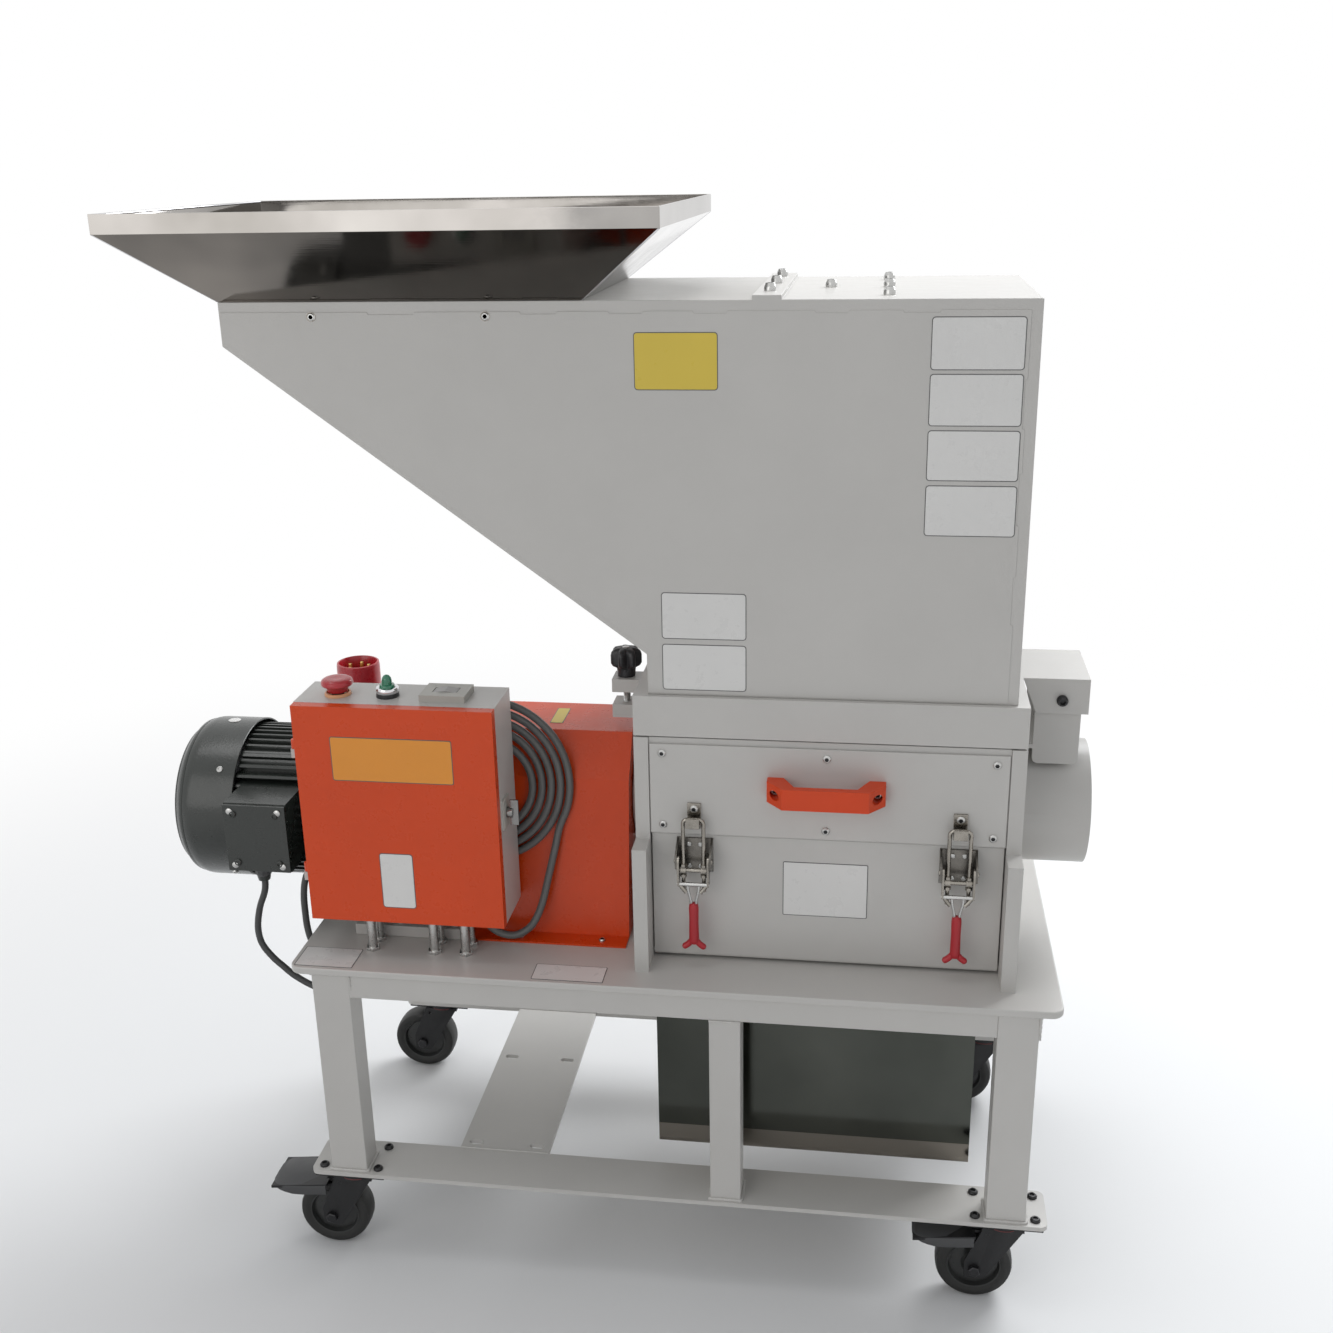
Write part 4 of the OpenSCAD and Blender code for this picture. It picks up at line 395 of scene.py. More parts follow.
def on_top(a, b, d):
    """Outline drawn on a top, depth upwards."""
    return (a, b, d)


def rounded(x0, y0, x1, y1, r, n=5):
    """Outline of a rectangle with round corners."""
    out = []
    for cx, cy, a0 in ((x1 - r, y1 - r, 0), (x0 + r, y1 - r, 90),
                       (x0 + r, y0 + r, 180), (x1 - r, y0 + r, 270)):
        for k in range(n + 1):
            a = math.radians(a0 + 90 * k / n)
            out.append((cx + r * math.cos(a), cy + r * math.sin(a)))
    return out


def rods(name, runs, radius, mat, body, res=3):
    """Round rods along several runs of points (metres), as one piece."""
    cu = bpy.data.curves.new(name, "CURVE")
    cu.dimensions = "3D"
    for pts in runs:
        sp = cu.splines.new("POLY")
        sp.points.add(len(pts) - 1)
        for q, p in zip(sp.points, pts):
            q.co = (*p, 1)
    cu.bevel_depth = radius
    cu.bevel_resolution = res
    cu.use_fill_caps = True
    ob = bpy.data.objects.new(name, cu)
    scene.collection.objects.link(ob)
    cu.materials.append(looks[mat])
    return placed(ob, mat, body)


def curve(name, pts, radius, mat, body, res=6):
    """One round rod or cord along points in metres."""
    return rods(name, [pts], radius, mat, body, res)


def spline(pts, steps):
    """Catmull-Rom points through pts."""
    out = []
    n = len(pts)
    for i in range(n - 1):
        a, b, c, d = pts[max(i - 1, 0)], pts[i], pts[i + 1], pts[min(i + 2, n - 1)]
        for k in range(steps):
            t = k / steps
            out.append(0.5 * ((2 * b) + (c - a) * t + (2 * a - 5 * b + 4 * c - d) * t * t
                              + (3 * b - 3 * c + d - a) * t ** 3))
    out.append(pts[-1])
    return out


def run(pts):
    """Length along the points."""
    return sum((b - a).length for a, b in zip(pts, pts[1:]))


# Cords
motor_route = [(-70, 112, 75), (-70, 112, 58), (-73, 112, 44), (-82, 112, 21), (-88, 112, -9),
               (-85, 112, -34), (-72, 112, -54), (-58, 112, -68), (-41, 112, -83), (-14, 111, -97),
               (10, 109, -99), (27, 107, -88), (32, 105, -70), (23, 103, -54), (6, 101, -40),
               (-6, 100, -22), (-11, 100, 0), (-12, 100, 24), (-11, 99, 50), (-7, 98, 72), (0, 97, 88),
               (11, 96, 95), (19, 96, 96)]
pts = spline([bench(*q) for q in motor_route], 4)
motor_cable = curve("motor_lead", pts, 0.0045, "cable_black", "frame")
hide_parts("motor_cable")

coil_mid, coil_r, coil_step, turns, turn_points = (240, 208), 112, 12.4, 4.5, 24
coil_start, coil_y, coil_lean, coil_foot, coil_dip, dip_turns = -30, 128, 0.15, 91, 12, 0.5


def coil_at(t):
    """Point of the flat spiral after t turns; it leans back and dips to the front at its end."""
    r = coil_r - coil_step * t
    a = math.radians(coil_start + 360 * t)
    z = coil_mid[1] + r * math.sin(a)
    s = max(0, t - turns + dip_turns) / dip_turns
    return bench(coil_mid[0] + r * math.cos(a), coil_y + coil_lean * (z - coil_foot) - coil_dip * s, z)


lead_in = [(238, 92, 50.5), (239, 92, 40), (248, 93, 22), (264, 94, 12), (284, 95, 12), (303, 99, 26),
           (315, 108, 52), (323, 120, 88), (331, 130, 124)]
lead_out = [(200.5, 141, 252.5), (190, 138, 251.5), (176, 136, 256), (158, 139, 270),
            (133, 153, 280), (104, 178, 274), (90, 191, 270), (75, 205, 268)]
coil = [coil_at(i / turn_points) for i in range(int(turns * turn_points) - 1)]
knots = [bench(*q) for q in lead_in] + coil + [bench(*q) for q in lead_out]
pts = spline(knots, 3)
power_cable = curve("power_lead", pts, 0.005, "cable_grey", "frame")
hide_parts("power_cable")


# Table and frame
finished("table_plate", "white", 0.0022, 3)
finished("table_beams", "white", 0.0016)
finished("frame_posts", "white", 0.0022, 3)
finished("bottom_rails", "white", 0.0010)
finished("cross_plate", "white", 0.0008)


RIPPLE, SIDES = 0.0022, 8


def weld(name, pts, r):
    """A rippled weld bead of radius r along bench points."""
    p = [bench(*q) for q in pts]
    total = run(p)
    n = max(6, int(total / RIPPLE))
    line = []
    for k in range(n + 1):
        d = total * k / n
        for a, b in zip(p, p[1:]):
            seg = (b - a).length
            if d <= seg or b is p[-1]:
                line.append(a.lerp(b, min(1, d / seg)))
                break
            d -= seg
    bm = bmesh.new()
    rings = []
    for k, c in enumerate(line):
        t = (line[min(k + 1, n)] - line[max(k - 1, 0)]).normalized()
        u = t.orthogonal().normalized() if abs(t.z) > 0.9 else t.cross(Vector((0, 0, 1))).normalized()
        v = t.cross(u)
        q = r / MM * (1.0 + 0.20 * math.sin(k * 2.1) + 0.08 * math.sin(k * 5.3))
        rings.append([bm.verts.new(c + (u * math.cos(a) + v * math.sin(a)) * q)
                      for a in [2 * math.pi * j / SIDES for j in range(SIDES)]])
    for ra, rb in zip(rings, rings[1:]):
        for j in range(SIDES):
            bm.faces.new((ra[j], ra[(j + 1) % SIDES], rb[(j + 1) % SIDES], rb[j]))
    bm.faces.new(rings[0][::-1])
    bm.faces.new(rings[-1])
    add(name, from_bm(bm, name), "white", "frame", 0, 2, 60)


left_x, mid_x, right_x, post_w, mid_w = 28, 547, 902, 50, 40
near_y, far_y, rail_z, under_z = 5, 495, -314, -11
for i, (x0, width) in enumerate(((left_x, post_w), (mid_x, mid_w), (right_x, post_w))):
    x1 = x0 + width
    weld("post_foot_weld_%d" % i, [(x0 - 1, 46, rail_z), (x0 - 1, near_y, rail_z),
                                   (x1 + 1, near_y, rail_z), (x1 + 1, 46, rail_z)], 2.2)
for i, x0 in enumerate((left_x, right_x)):
    x1 = x0 + post_w
    weld("rear_foot_weld_%d" % i, [(x0 - 1, 454, rail_z), (x0 - 1, far_y, rail_z), (x1 + 1, far_y, rail_z),
                                   (x1 + 1, 454, rail_z)], 2.2)
    weld("post_head_weld_%d" % i, [(x0 - 1, 46, under_z), (x0 - 1, near_y, under_z),
                                   (x1 + 1, near_y, under_z), (x1 + 1, 8, -44)], 1.8)
weld("mid_head_weld", [(mid_x, 5.5, -45), (mid_x + mid_w, 5.5, -45)], 1.6)
weld("cross_front_weld", [(190, 72.5, -315), (315, 72.5, -315)], 1.5)
weld("cross_rear_weld", [(190, 427.5, -315), (315, 427.5, -315)], 1.5)

# Chamber
finished("side_plates", "white_cast", 0.0016, 3)
finished("chamber_walls", "white_cast", 0.0008)
finished("front_cover", "white", 0.0009)
finished("front_door", "white", 0.0012, 3)
finished("bearing_housings", "white_cast", 0.0020, 3)
finished("drum_guard", "white", 0.0030, 4)
finished("hinge_bracket", "white", 0.0008)
finished("cover_handle", "orange_plastic", 0.0024, 4)
finished("fixed_knives", "knife", 0.0004)
finished("screen", "screen", 0.0002, 1)
finished("rotor", "cast", 0.0012)
finished("rotor_knives", "knife", 0.0003, 1)
finished("output_coupling", "cast", 0.0012)
# Panel screw sockets take painted shade
socket_shade_and_black_heads(finished("panel_screws", "zinc", 0.0004))


def socket_screw(name, at, axis, r, h, body, mat="zinc"):
    """Button head with a recess, seated at a bench point."""
    prof = [(0, 0), (r, 0), (r, h * 0.35), (r * 0.93, h * 0.72), (r * 0.72, h), (r * 0.5, h),
            (r * 0.46, h * 0.55), (0, h * 0.5)]
    lathe(name, prof, at, axis, mat, body, 24, 0, 30)


# Latches
finished("latch_bases", "latch_dark", 0.0005)
finished("latch_catches", "latch", 0.0005)
latch_mid, latch_off = 686.5, 163
pin_z, bar_y, bar_z, arm_end_z, grip_y, tip_off, tip_z = 150, 54.7, 119.5, 117.5, 57, 11.5, 31
for side in ("left", "right"):
    finished(side + "_latch_loop", "latch", 0.0003, 2)
    x = latch_mid - latch_off if side == "left" else latch_mid + latch_off
    body = side + "_handle"
    arms = finished(side + "_latch_handle", "latch", 0.0004)
    # The solid's plain lever ends at the cross bar here; rods and a dipped grip go on from it
    bm = bmesh.new()
    bm.from_mesh(arms.data)
    low = bench(0, 0, arm_end_z).z
    bmesh.ops.delete(bm, geom=[f for f in bm.faces if all(v.co.z < low for v in f.verts)], context="FACES")
    bm.to_mesh(arms.data)
    bm.free()
    curve(side + "_cross_bar", [bench(x - 20.5, bar_y, bar_z), bench(x + 20.5, bar_y, bar_z)], 0.0026,
          "zinc", body)
    for s in (-1, 1):
        rod = ((7.2, 54.6, 120), (6.4, 54.8, 110), (4.2, 56, 100), (2.6, grip_y, 90))
        pts = spline([bench(x + s * a, y, z) for a, y, z in rod], 5)
        curve("%s_grip_rod_%s" % (side, "a" if s < 0 else "b"), pts, 0.0019, "zinc", body, 5)
    # Dipped red grip over the rods' lower end, forked at its tip
    lathe(side + "_grip", [(0, 0), (5.4, 0), (6.3, 1.2), (6.5, 6), (6.0, 30), (6.3, 50), (5.6, 54.5),
                           (3.4, 56.5), (0, 56.6)], (x, grip_y, 36), (0, 0, 1), "grip", body, 28)
    for s in (-1, 1):
        fork = ((0.5, 46), (2.5, 40), (7.5, 34), (tip_off, tip_z))
        pts = spline([bench(x + s * a, grip_y, z) for a, z in fork], 5)
        curve("%s_grip_tip_%s" % (side, "a" if s < 0 else "b"), pts, 0.0041, "grip", body, 5)
        lathe("%s_grip_ball_%s" % (side, "a" if s < 0 else "b"),
              [(0, -4.1), (1.9, -3.7), (3.3, -2.4), (4.1, 0), (3.3, 2.4), (1.9, 3.7), (0, 4.1)],
              (x + s * tip_off, grip_y, tip_z), (0, 0, 1), "grip", body, 16)
    for s in (-1, 1):
        # Mounting screws beside the ears and the pins' riveted ends
        for dz in (-15, 15):
            socket_screw("%s_base_screw_%d_%d" % (side, s, dz), (x + s * 7, 77, pin_z + dz), (0, -1, 0),
                         3.2, 2.0, "door")
        lathe("%s_rivet_%d" % (side, s), [(0, 0), (3.6, 0), (3.4, 0.9), (2.2, 1.6), (0, 1.7)],
              (x + s * 22.7, 58, pin_z), (s, 0, 0), "latch", body, 20)

# Hopper
finished("hopper_shell", "white", 0.0010)
finished("hopper_base", "white", 0.0014, 3)
# Bolt sockets take painted shade; the bolt head before the point is black all over
socket_shade_and_black_heads(finished("hopper_bolts", "zinc", 0.0005), whole=bench(973, 182, 334))
tray = finished("feed_tray", "tray", 0.0004)
# Outer flanks that face down carry painted reflection: the front and left a darker copy for a dark room,
# the right a lighter copy for the window
for extra in ("tray_painted_dark_reflection", "tray_painted_window_reflection"):
    tray.data.materials.append(looks[extra])
for f in tray.data.polygons:
    tall = abs(f.normal.z) < 0.93
    if tall and f.normal.z < -0.1 and (f.normal.y < -0.3 or f.normal.x < -0.3):
        f.material_index = 1
    elif tall and f.normal.x > 0.3 and f.normal.z < -0.1:
        f.material_index = 2

# Folded front and back sheets with their tabs: a thin lapped panel leaves the seam line
FRONT, BACK = 81.2, 402.8
seam_left, seam_right, seam_top, tab, slope = -27.5, 897.5, 819, 2.8, 1.5
seam = [(seam_left, seam_top)]
for a, b in ((150, 205), (330, 372), (432, 470), (528, 566), (664, 700), (760, 800)):
    seam += [(a, seam_top), (a + slope, seam_top - tab), (b, seam_top - tab), (b + slope, seam_top)]
seam += [(seam_right, seam_top)]
for a, b in ((745, 690), (640, 580), (520, 462)):
    seam += [(seam_right, a), (seam_right - tab, a - slope), (seam_right - tab, b), (seam_right, b - slope)]
seam += [(seam_right, 364), (468.5, 364), (468.5, 419.5), (seam_left, 785.5)]
prism("hopper_front_panel", seam, on_front, (FRONT, 82.02), "white", "hopper", 0.25)
prism("hopper_back_panel", seam, on_front, (401.98, BACK), "white", "hopper", 0.25)
for i, x in enumerate((83, 290)):
    lathe("wall_screw_washer_%d" % i, [(0, 0), (5.6, 0), (5.6, 0.8), (0, 0.8)], (x, 81.3, 814),
          (0, -1, 0), "latch", "hopper", 28)

# Tray: hemmed rim and bright corner welds
tx0, tx1, ty0, ty1 = -127, 506, -8, 471
hem, weld_in = 1.6, 1.7
hem_z, brow_z, foot_z = 932.4, 912, 831.5
hem_x, hem_y = (tx0 + hem, tx1 - hem), (ty0 + hem, ty1 - hem)
rim = [bench(hem_x[i], hem_y[j], hem_z) for i, j in ((0, 0), (1, 0), (1, 1), (0, 1), (0, 0))]
curve("tray_rim_hem", rim, 0.0015, "chrome", "hopper", 4)
for i, (cx, cy, bx, by) in enumerate(((tx0, ty0, -30, 82), (tx1, ty0, 403, 82), (tx1, ty1, 403, 398),
                                      (tx0, ty1, -30, 398))):
    sx, sy = (1 if cx < 100 else -1), (1 if cy < 100 else -1)
    top = (cx + sx * weld_in, cy + sy * weld_in)
    curve("tray_corner_weld_%d" % i, [bench(*top, 932), bench(*top, brow_z),
                                      bench(bx + sx * weld_in, by + sy * weld_in, foot_z)],
          0.0016, "chrome", "hopper", 3)

# Rubber curtains, cut in strips that curl, and the seal under the base
strips, strip_w, slit, sheet_t = 5, 59.6, 1.6, 2.4
curtain_y, curtain_top, curtain_h, curl_from, curl_span, steps = 91, 827.5, 267.5, 760, 200, 14
for j, x in enumerate((608, 742)):
    for k in range(strips):
        y0 = curtain_y + k * strip_w + (slit if k else 0)
        y1 = curtain_y + (k + 1) * strip_w - (slit if k < strips - 1 else 0)
        bm = bmesh.new()
        cols = []
        for i in range(steps + 1):
            z = curtain_top - i * (curtain_h / steps)
            f = max(0.0, (curl_from - z) / curl_span)
            sway = 0.9 * math.sin(k * 2.3 + j) * f ** 2 + 0.8 * math.sin(3.1 * f + k) * f
            row = []
            for yy in (y0, 0.5 * (y0 + y1), y1):
                cup = 0.5 * f * (1 if yy in (y0, y1) else -1)
                row.append((x + 2.5 + sway + cup, yy, z))
            cols.append(row)
        front = [[bm.verts.new(bench(a - sheet_t, b, c)) for a, b, c in row] for row in cols]
        rear = [[bm.verts.new(bench(a + sheet_t, b, c)) for a, b, c in row] for row in cols]
        for i in range(steps):
            for q in range(2):
                bm.faces.new((front[i][q], front[i][q + 1], front[i + 1][q + 1], front[i + 1][q]))
                bm.faces.new((rear[i][q + 1], rear[i][q], rear[i + 1][q], rear[i + 1][q + 1]))
            for q in (0, 2):
                bm.faces.new((front[i][q], front[i + 1][q], rear[i + 1][q], rear[i][q]))
        for i in (0, steps):
            for q in range(2):
                bm.faces.new((front[i][q], front[i][q + 1], rear[i][q + 1], rear[i][q]))
        strip = add("curtain_%d_strip_%d" % (j, k), from_bm(bm, "strip"), "rubber", "hopper", 0.0004)
        if j == 0 and k == 0:
            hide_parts("hopper_rubber")
for i, (a, b) in enumerate((((452, 77, 308.4), (921, 92, 310)), ((452, 391, 308.4), (921, 403, 310)),
                            ((452, 92, 308.4), (467, 391, 310)), ((906, 92, 308.4), (921, 391, 310)))):
    box("base_seal_%d" % i, a, b, "rubber", "hopper", 0.3)


# Star knob: lobed moulding with a metal boss
def lobed(name, at, rings, lobes, mat, body, n=112):
    """Stack of lobed rings, each (mean radius, lobe height, z)."""
    bm = bmesh.new()
    loops = []
    for r, lobe, z in rings:
        ring = []
        for k in range(n):
            a = 2 * math.pi * k / n
            rr = r + lobe * (math.cos(lobes * a) * 0.5 + 0.5) ** 0.7
            ring.append(bm.verts.new(bench(at[0] + rr * math.cos(a), at[1] + rr * math.sin(a), z)))
        loops.append(ring)
    for a, b in zip(loops, loops[1:]):
        for k in range(n):
            bm.faces.new((a[k], a[(k + 1) % n], b[(k + 1) % n], b[k]))
    bm.faces.new(loops[0][::-1])
    bm.faces.new(loops[-1])
    return add(name, from_bm(bm, name), mat, body, 0, 2, 40)


KNOB = (418, 215)
knob = lobed("star_knob_moulding", KNOB,
             [(11.5, 0, 338.4), (12, 0, 344), (12.5, 0.2, 350), (14, 4.5, 353), (14.6, 6.2, 357),
              (14.6, 6.3, 368), (14.2, 5.6, 372), (12.8, 4.2, 375), (10, 1.8, 376.6), (7, 0, 377)], 7,
             "black_plastic", "star_knob")
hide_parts("star_knob")
lathe("star_knob_boss", [(0, -2), (4.6, -2), (4.6, 0.4), (3.8, 0.9), (0, 0.9)], (*KNOB, 377), (0, 0, 1),
      "zinc", "star_knob", 24)
screw_z, pitch_mm, root_r, crest_r = 285, 2.0, 4.25, 4.95
screw = [(0, 285.4)]
for k in range(26):
    z = 285.6 + k * pitch_mm
    screw += [(root_r, z), (crest_r, z + pitch_mm / 2)]
screw += [(root_r, 338.5), (0, 338.5)]
lathe("star_knob_screw", [(r, z - screw_z) for r, z in screw], (*KNOB, screw_z), (0, 0, 1), "zinc",
      "star_knob", 24)

# Drive
finished("drive_guard", "orange", 0.0014, 3)
finished("gear_case", "gear", 0.0040, 3)
finished("motor_base", "white_cast", 0.0016)
finished("motor_body", "motor", 0.0009)
finished("motor_rotor", "cast", 0.0008)
SHAFT_Y, SHAFT_Z = 240, 130
COWL = (-208, SHAFT_Y, SHAFT_Z)
cowl_r, cowl_dome, cowl_len, screw_ring, dome_steps = 112, 34, 93, 111.8, 12
cowl_rings = [(64, 0.0), (72, 0.0)]
for k in range(dome_steps + 1):
    a = math.radians(90 * k / dome_steps)
    cowl_rings.append((cowl_r - cowl_dome + cowl_dome * math.sin(a), cowl_dome - cowl_dome * math.cos(a)))
cowl_rings += [(cowl_r, 60), (cowl_r, 92.4), (111.4, cowl_len), (110, cowl_len), (110, 36), (76, 2.2),
               (64, 2), (64, 0)]
cowl = lathe("fan_cowl_shell", cowl_rings, COWL, (1, 0, 0), "motor", "frame", 96, 0, 40)
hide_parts("fan_cowl")
for k, (r, h) in enumerate(((96.5, 5.6), (107.2, 16.5))):
    lathe("cowl_bead_%d" % k, [(r - 2.2, h - 2.6), (r + 0.9, h - 1.0), (r + 1.6, h + 1.2),
                               (r + 2.0, h + 3.4)], COWL, (1, 0, 0), "motor", "frame", 96, 0, 60)
grille_r, bar_step, bar_half = 65, 10.5, 1.2
for k in range(-5, 6):
    y = k * bar_step
    half = math.sqrt(grille_r ** 2 - y ** 2)
    box("cowl_grille_%d" % (k + 5), (-207.9, SHAFT_Y + y - bar_half, SHAFT_Z - half),
        (-206.2, SHAFT_Y + y + bar_half, SHAFT_Z + half), "motor", "frame", 0.3)
for k in range(3):
    r = 18 + 18 * k
    lathe("cowl_grille_ring_%d" % k, [(r, 0.3), (r + 2, 0.3), (r + 2, 2.0), (r, 2.0), (r, 0.3)],
          COWL, (1, 0, 0), "motor", "frame", 48)
finished("terminal_box", "motor", 0.0022, 3)


def on_cowl(x, degrees):
    """Point on the cowl's side and the way out from it."""
    ca, sa = math.cos(math.radians(degrees)), math.sin(math.radians(degrees))
    return (x, SHAFT_Y - screw_ring * ca, SHAFT_Z + screw_ring * sa), (0, -ca, sa)


for i, a in enumerate((42, 132, 222, 312)):
    socket_screw("cowl_screw_%d" % i, *on_cowl(-137, a), 4.6, 2.6, "frame")
lathe("cowl_plug", [(0, 0), (8.5, 0), (8.5, 0.8), (6.8, 1.6), (0, 1.7)], *on_cowl(-150, 93), "plate_pale",
      "frame", 32)
for i, (x, z) in enumerate(((-95, 100), (-29, 100), (-95, 178), (-29, 178))):
    lathe("terminal_screw_%d" % i, [(0, 0), (4.6, 0), (4.4, 1.6), (2.6, 2.6), (0, 2.7)], (x, 84.2, z),
          (0, -1, 0), "zinc", "frame", 20)
# Gland nut: dome over a flange, twelve-sided for the grip
r = 12.8
lathe("terminal_gland", [(0, 0), (r * 1.15, 0), (r * 1.15, 3.4), (r * 0.95, 3.6), (r * 0.98, 5),
                         (r * 0.9, 13), (r * 0.74, 17), (r * 0.55, 19.5), (r * 0.52, 19.6), (0, 19.6)],
      (-70, 112, 90), (0, 0, -1), "dark_grey", "frame", 12, 0, 25)

# Control box
finished("control_box", "white", 0.0014, 3)
finished("box_door", "orange", 0.0030, 4)
finished("box_latch", "chrome_dark", 0.0008)
for i, x in enumerate((96, 180, 222)):
    for j, y in enumerate((58, 84)):
        lathe("box_foot_%d_%d" % (i, j), [(6.15, 0.1), (9.5, 0.1), (9.5, 4.4), (6.15, 4.4)], (x, y, 0),
              (0, 0, 1), "zinc", "frame", 6, 0.0005)
        lathe("box_foot_sleeve_%d_%d" % (i, j), [(6.05, 4.4), (6.12, 4.4), (6.12, 54.6), (6.05, 54.6)],
              (x, y, 0), (0, 0, 1), "zinc", "frame", 28)
        lathe("box_foot_top_%d_%d" % (i, j), [(6.15, 50), (9.5, 50), (9.5, 54.8), (6.15, 54.8)], (x, y, 0),
              (0, 0, 1), "zinc", "frame", 6, 0.0005)

# Emergency stop: dished mushroom, neck and pale ring
box_top = 350
STOP, LAMP = (73, 78, box_top), (138, 78, box_top)
estop = lathe("estop_mushroom", [(0, 5.0), (12.6, 5.0), (13.6, 8.5), (15.4, 11.6), (18.8, 13.0),
                                 (20.0, 14.6), (20.0, 17.4), (19.0, 19.6), (16.5, 21.2), (12, 22.0),
                                 (6, 21.5), (0, 21.3)], STOP, (0, 0, 1), "red", "estop_button", 64)
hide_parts("estop_button")
lathe("estop_stem", [(0, -4.9), (7.9, -4.9), (7.9, 5.5), (0, 5.5)], STOP, (0, 0, 1), "dark_grey",
      "estop_button", 32)
lathe("estop_ring", [(8.2, 0.02), (16.5, 0.02), (16.8, 1.0), (16.3, 3.2), (15.2, 4.0), (14.2, 4.0),
                     (14.0, 0.5), (8.2, 0.5)], STOP, (0, 0, 1), "amber", "frame", 56)

# Pilot lamp: black seat, chrome bezel, faceted green lens
lamp = lathe("lamp_bezel", [(9.6, 5.6), (14.0, 5.6), (14.4, 6.4), (14.4, 10.6), (13.6, 12.0), (11.2, 12.4),
                            (10.0, 11.6), (9.6, 10)], LAMP, (0, 0, 1), "chrome", "frame", 56)
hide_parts("pilot_lamp")
lathe("lamp_seat", [(0, 0.02), (14.4, 0.02), (14.5, 1.0), (14.0, 5.6), (0, 5.6)], LAMP, (0, 0, 1),
      "black_plastic", "frame", 56)
lathe("lamp_collar", [(0, 8), (9.7, 8), (9.7, 14.2), (9.2, 15.6), (7.4, 16), (0, 16)], LAMP,
      (0, 0, 1), "green", "frame", 24, 0, 20)
lathe("lamp_lens", [(0, 15.8), (6.6, 15.8), (6.5, 20.5), (5.6, 24.2), (3.6, 27.0), (1.6, 27.9), (0, 28)],
      LAMP, (0, 0, 1), "green", "frame", 14, 0, 15)

# Switch housing with rocker
finished("start_switch", "grey_plastic", 0.0008, 3)

# Switchgear behind the door
finished("box_fittings", "device", 0.0008)
way_x, way_step = 64, 26
for i in range(7):
    x = way_x + i * way_step
    box("terminal_way_%d" % i, (x, 86.2, 96), (x + 20, 90.0, 118), "dark_grey", "frame", 0.6)
    lathe("terminal_way_screw_%d" % i, [(0, 0), (3.2, 0), (2.9, 1.2), (0, 1.3)], (x + 10, 86.2, 107),
          (0, -1, 0), "copper", "frame", 16)
for i in range(3):
    for row, z in (("", 285), ("low_", 206)):
        lathe("contactor_screw_%s%d" % (row, i), [(0, 0), (4, 0), (3.7, 1.4), (0, 1.5)],
              (70 + i * 22, 66.0, z), (0, -1, 0), "copper", "frame", 18)

# Plug: industrial type, skirt up, grip ring and side entry
px, py = 42, 238
skirt_r, pin_ring = 25, 14
plug = lathe("plug_body", [(0, 236.3), (22, 236.3), (24.5, 238), (skirt_r, 242), (skirt_r, 290),
                           (26.5, 296), (28.8, 300), (29, 304), (29, 333), (28.2, 337.4), (25.8, 338),
                           (25.2, 337), (24.6, 316), (0, 316)], (px, py, 0), (0, 0, 1), "red", "frame", 56)
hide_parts("power_plug")
grips = [(px + skirt_r * math.cos(k * math.pi / 9), py + skirt_r * math.sin(k * math.pi / 9))
         for k in range(18)]
rods("plug_ribs", [[bench(x, y, 244), bench(x, y, 288)] for x, y in grips], 0.0012, "red", "frame")
for k in range(5):
    a = 2 * math.pi * (k + 0.25) / 5
    lathe("plug_pin_%d" % k, [(0, 316), (3, 316), (3, 331), (2.2, 333), (0, 333.4)],
          (px + pin_ring * math.cos(a), py + pin_ring * math.sin(a), 0), (0, 0, 1), "copper", "frame", 16)
entry = (px, py, lead_out[-1][2])
entry_dir = (bench(*lead_out[-1]) - bench(*entry)).normalized()
lathe("plug_entry", [(0, 20), (13.0, 20), (13.0, 30), (11.8, 33), (11.4, 40), (9.0, 44), (5.6, 46.6),
                     (5.3, 46.6)], entry, entry_dir, "dark_grey", "frame", 32)
round(run(spline(knots, 3)), 3)
lathe("box_low_gland", [(5.3, 0), (11.5, 0), (11.5, 3.2), (9.6, 3.4), (9.2, 7.6), (7.4, 10.4),
                        (5.3, 11)], (238, 92, 54.9), (0, 0, -1), "dark_grey", "frame", 12, 0, 25)
lathe("box_side_gland", [(4.8, 0), (11.5, 0), (11.5, 3.2), (9.8, 3.4), (9.4, 11.6), (7.2, 14.4),
                         (4.8, 15)], (25.9, 96, 96), (-1, 0, 0), "dark_grey", "frame", 12, 0, 25)

# Bin, with a lighter band of painted reflection along its foot
chip_bin = finished("collecting_bin", "bin", 0.0010)
band = bench(0, 0, -271).z
bm = bmesh.new()
bm.from_mesh(chip_bin.data)
bmesh.ops.bisect_plane(bm, geom=bm.verts[:] + bm.edges[:] + bm.faces[:], plane_co=(0, 0, band),
                       plane_no=(0, 0, 1))
bm.to_mesh(chip_bin.data)
bm.free()
chip_bin.data.materials.append(looks["bin_foot"])
for f in chip_bin.data.polygons:
    if f.center.z < band:
        f.material_index = 1

# Casters
LEFT, RIGHT, NEAR, FAR, TRAIL, AXLE_Z = 53, 927, 36, 464, 35, -400
tread = [(35, -14.2), (40, -15.6), (44, -15.9), (47.6, -14.6), (49.4, -10.5), (50, -4)]
disc = [(5.05, -17.4), (12, -17.4), (16.5, -10), (31, -8.6), (33.4, -14.4), (35.2, -14.8)]


def both_sides(half):
    """Closed profile from its half on one side of the wheel's middle."""
    return half + [(r, -h) for r, h in half[::-1]] + half[:1]


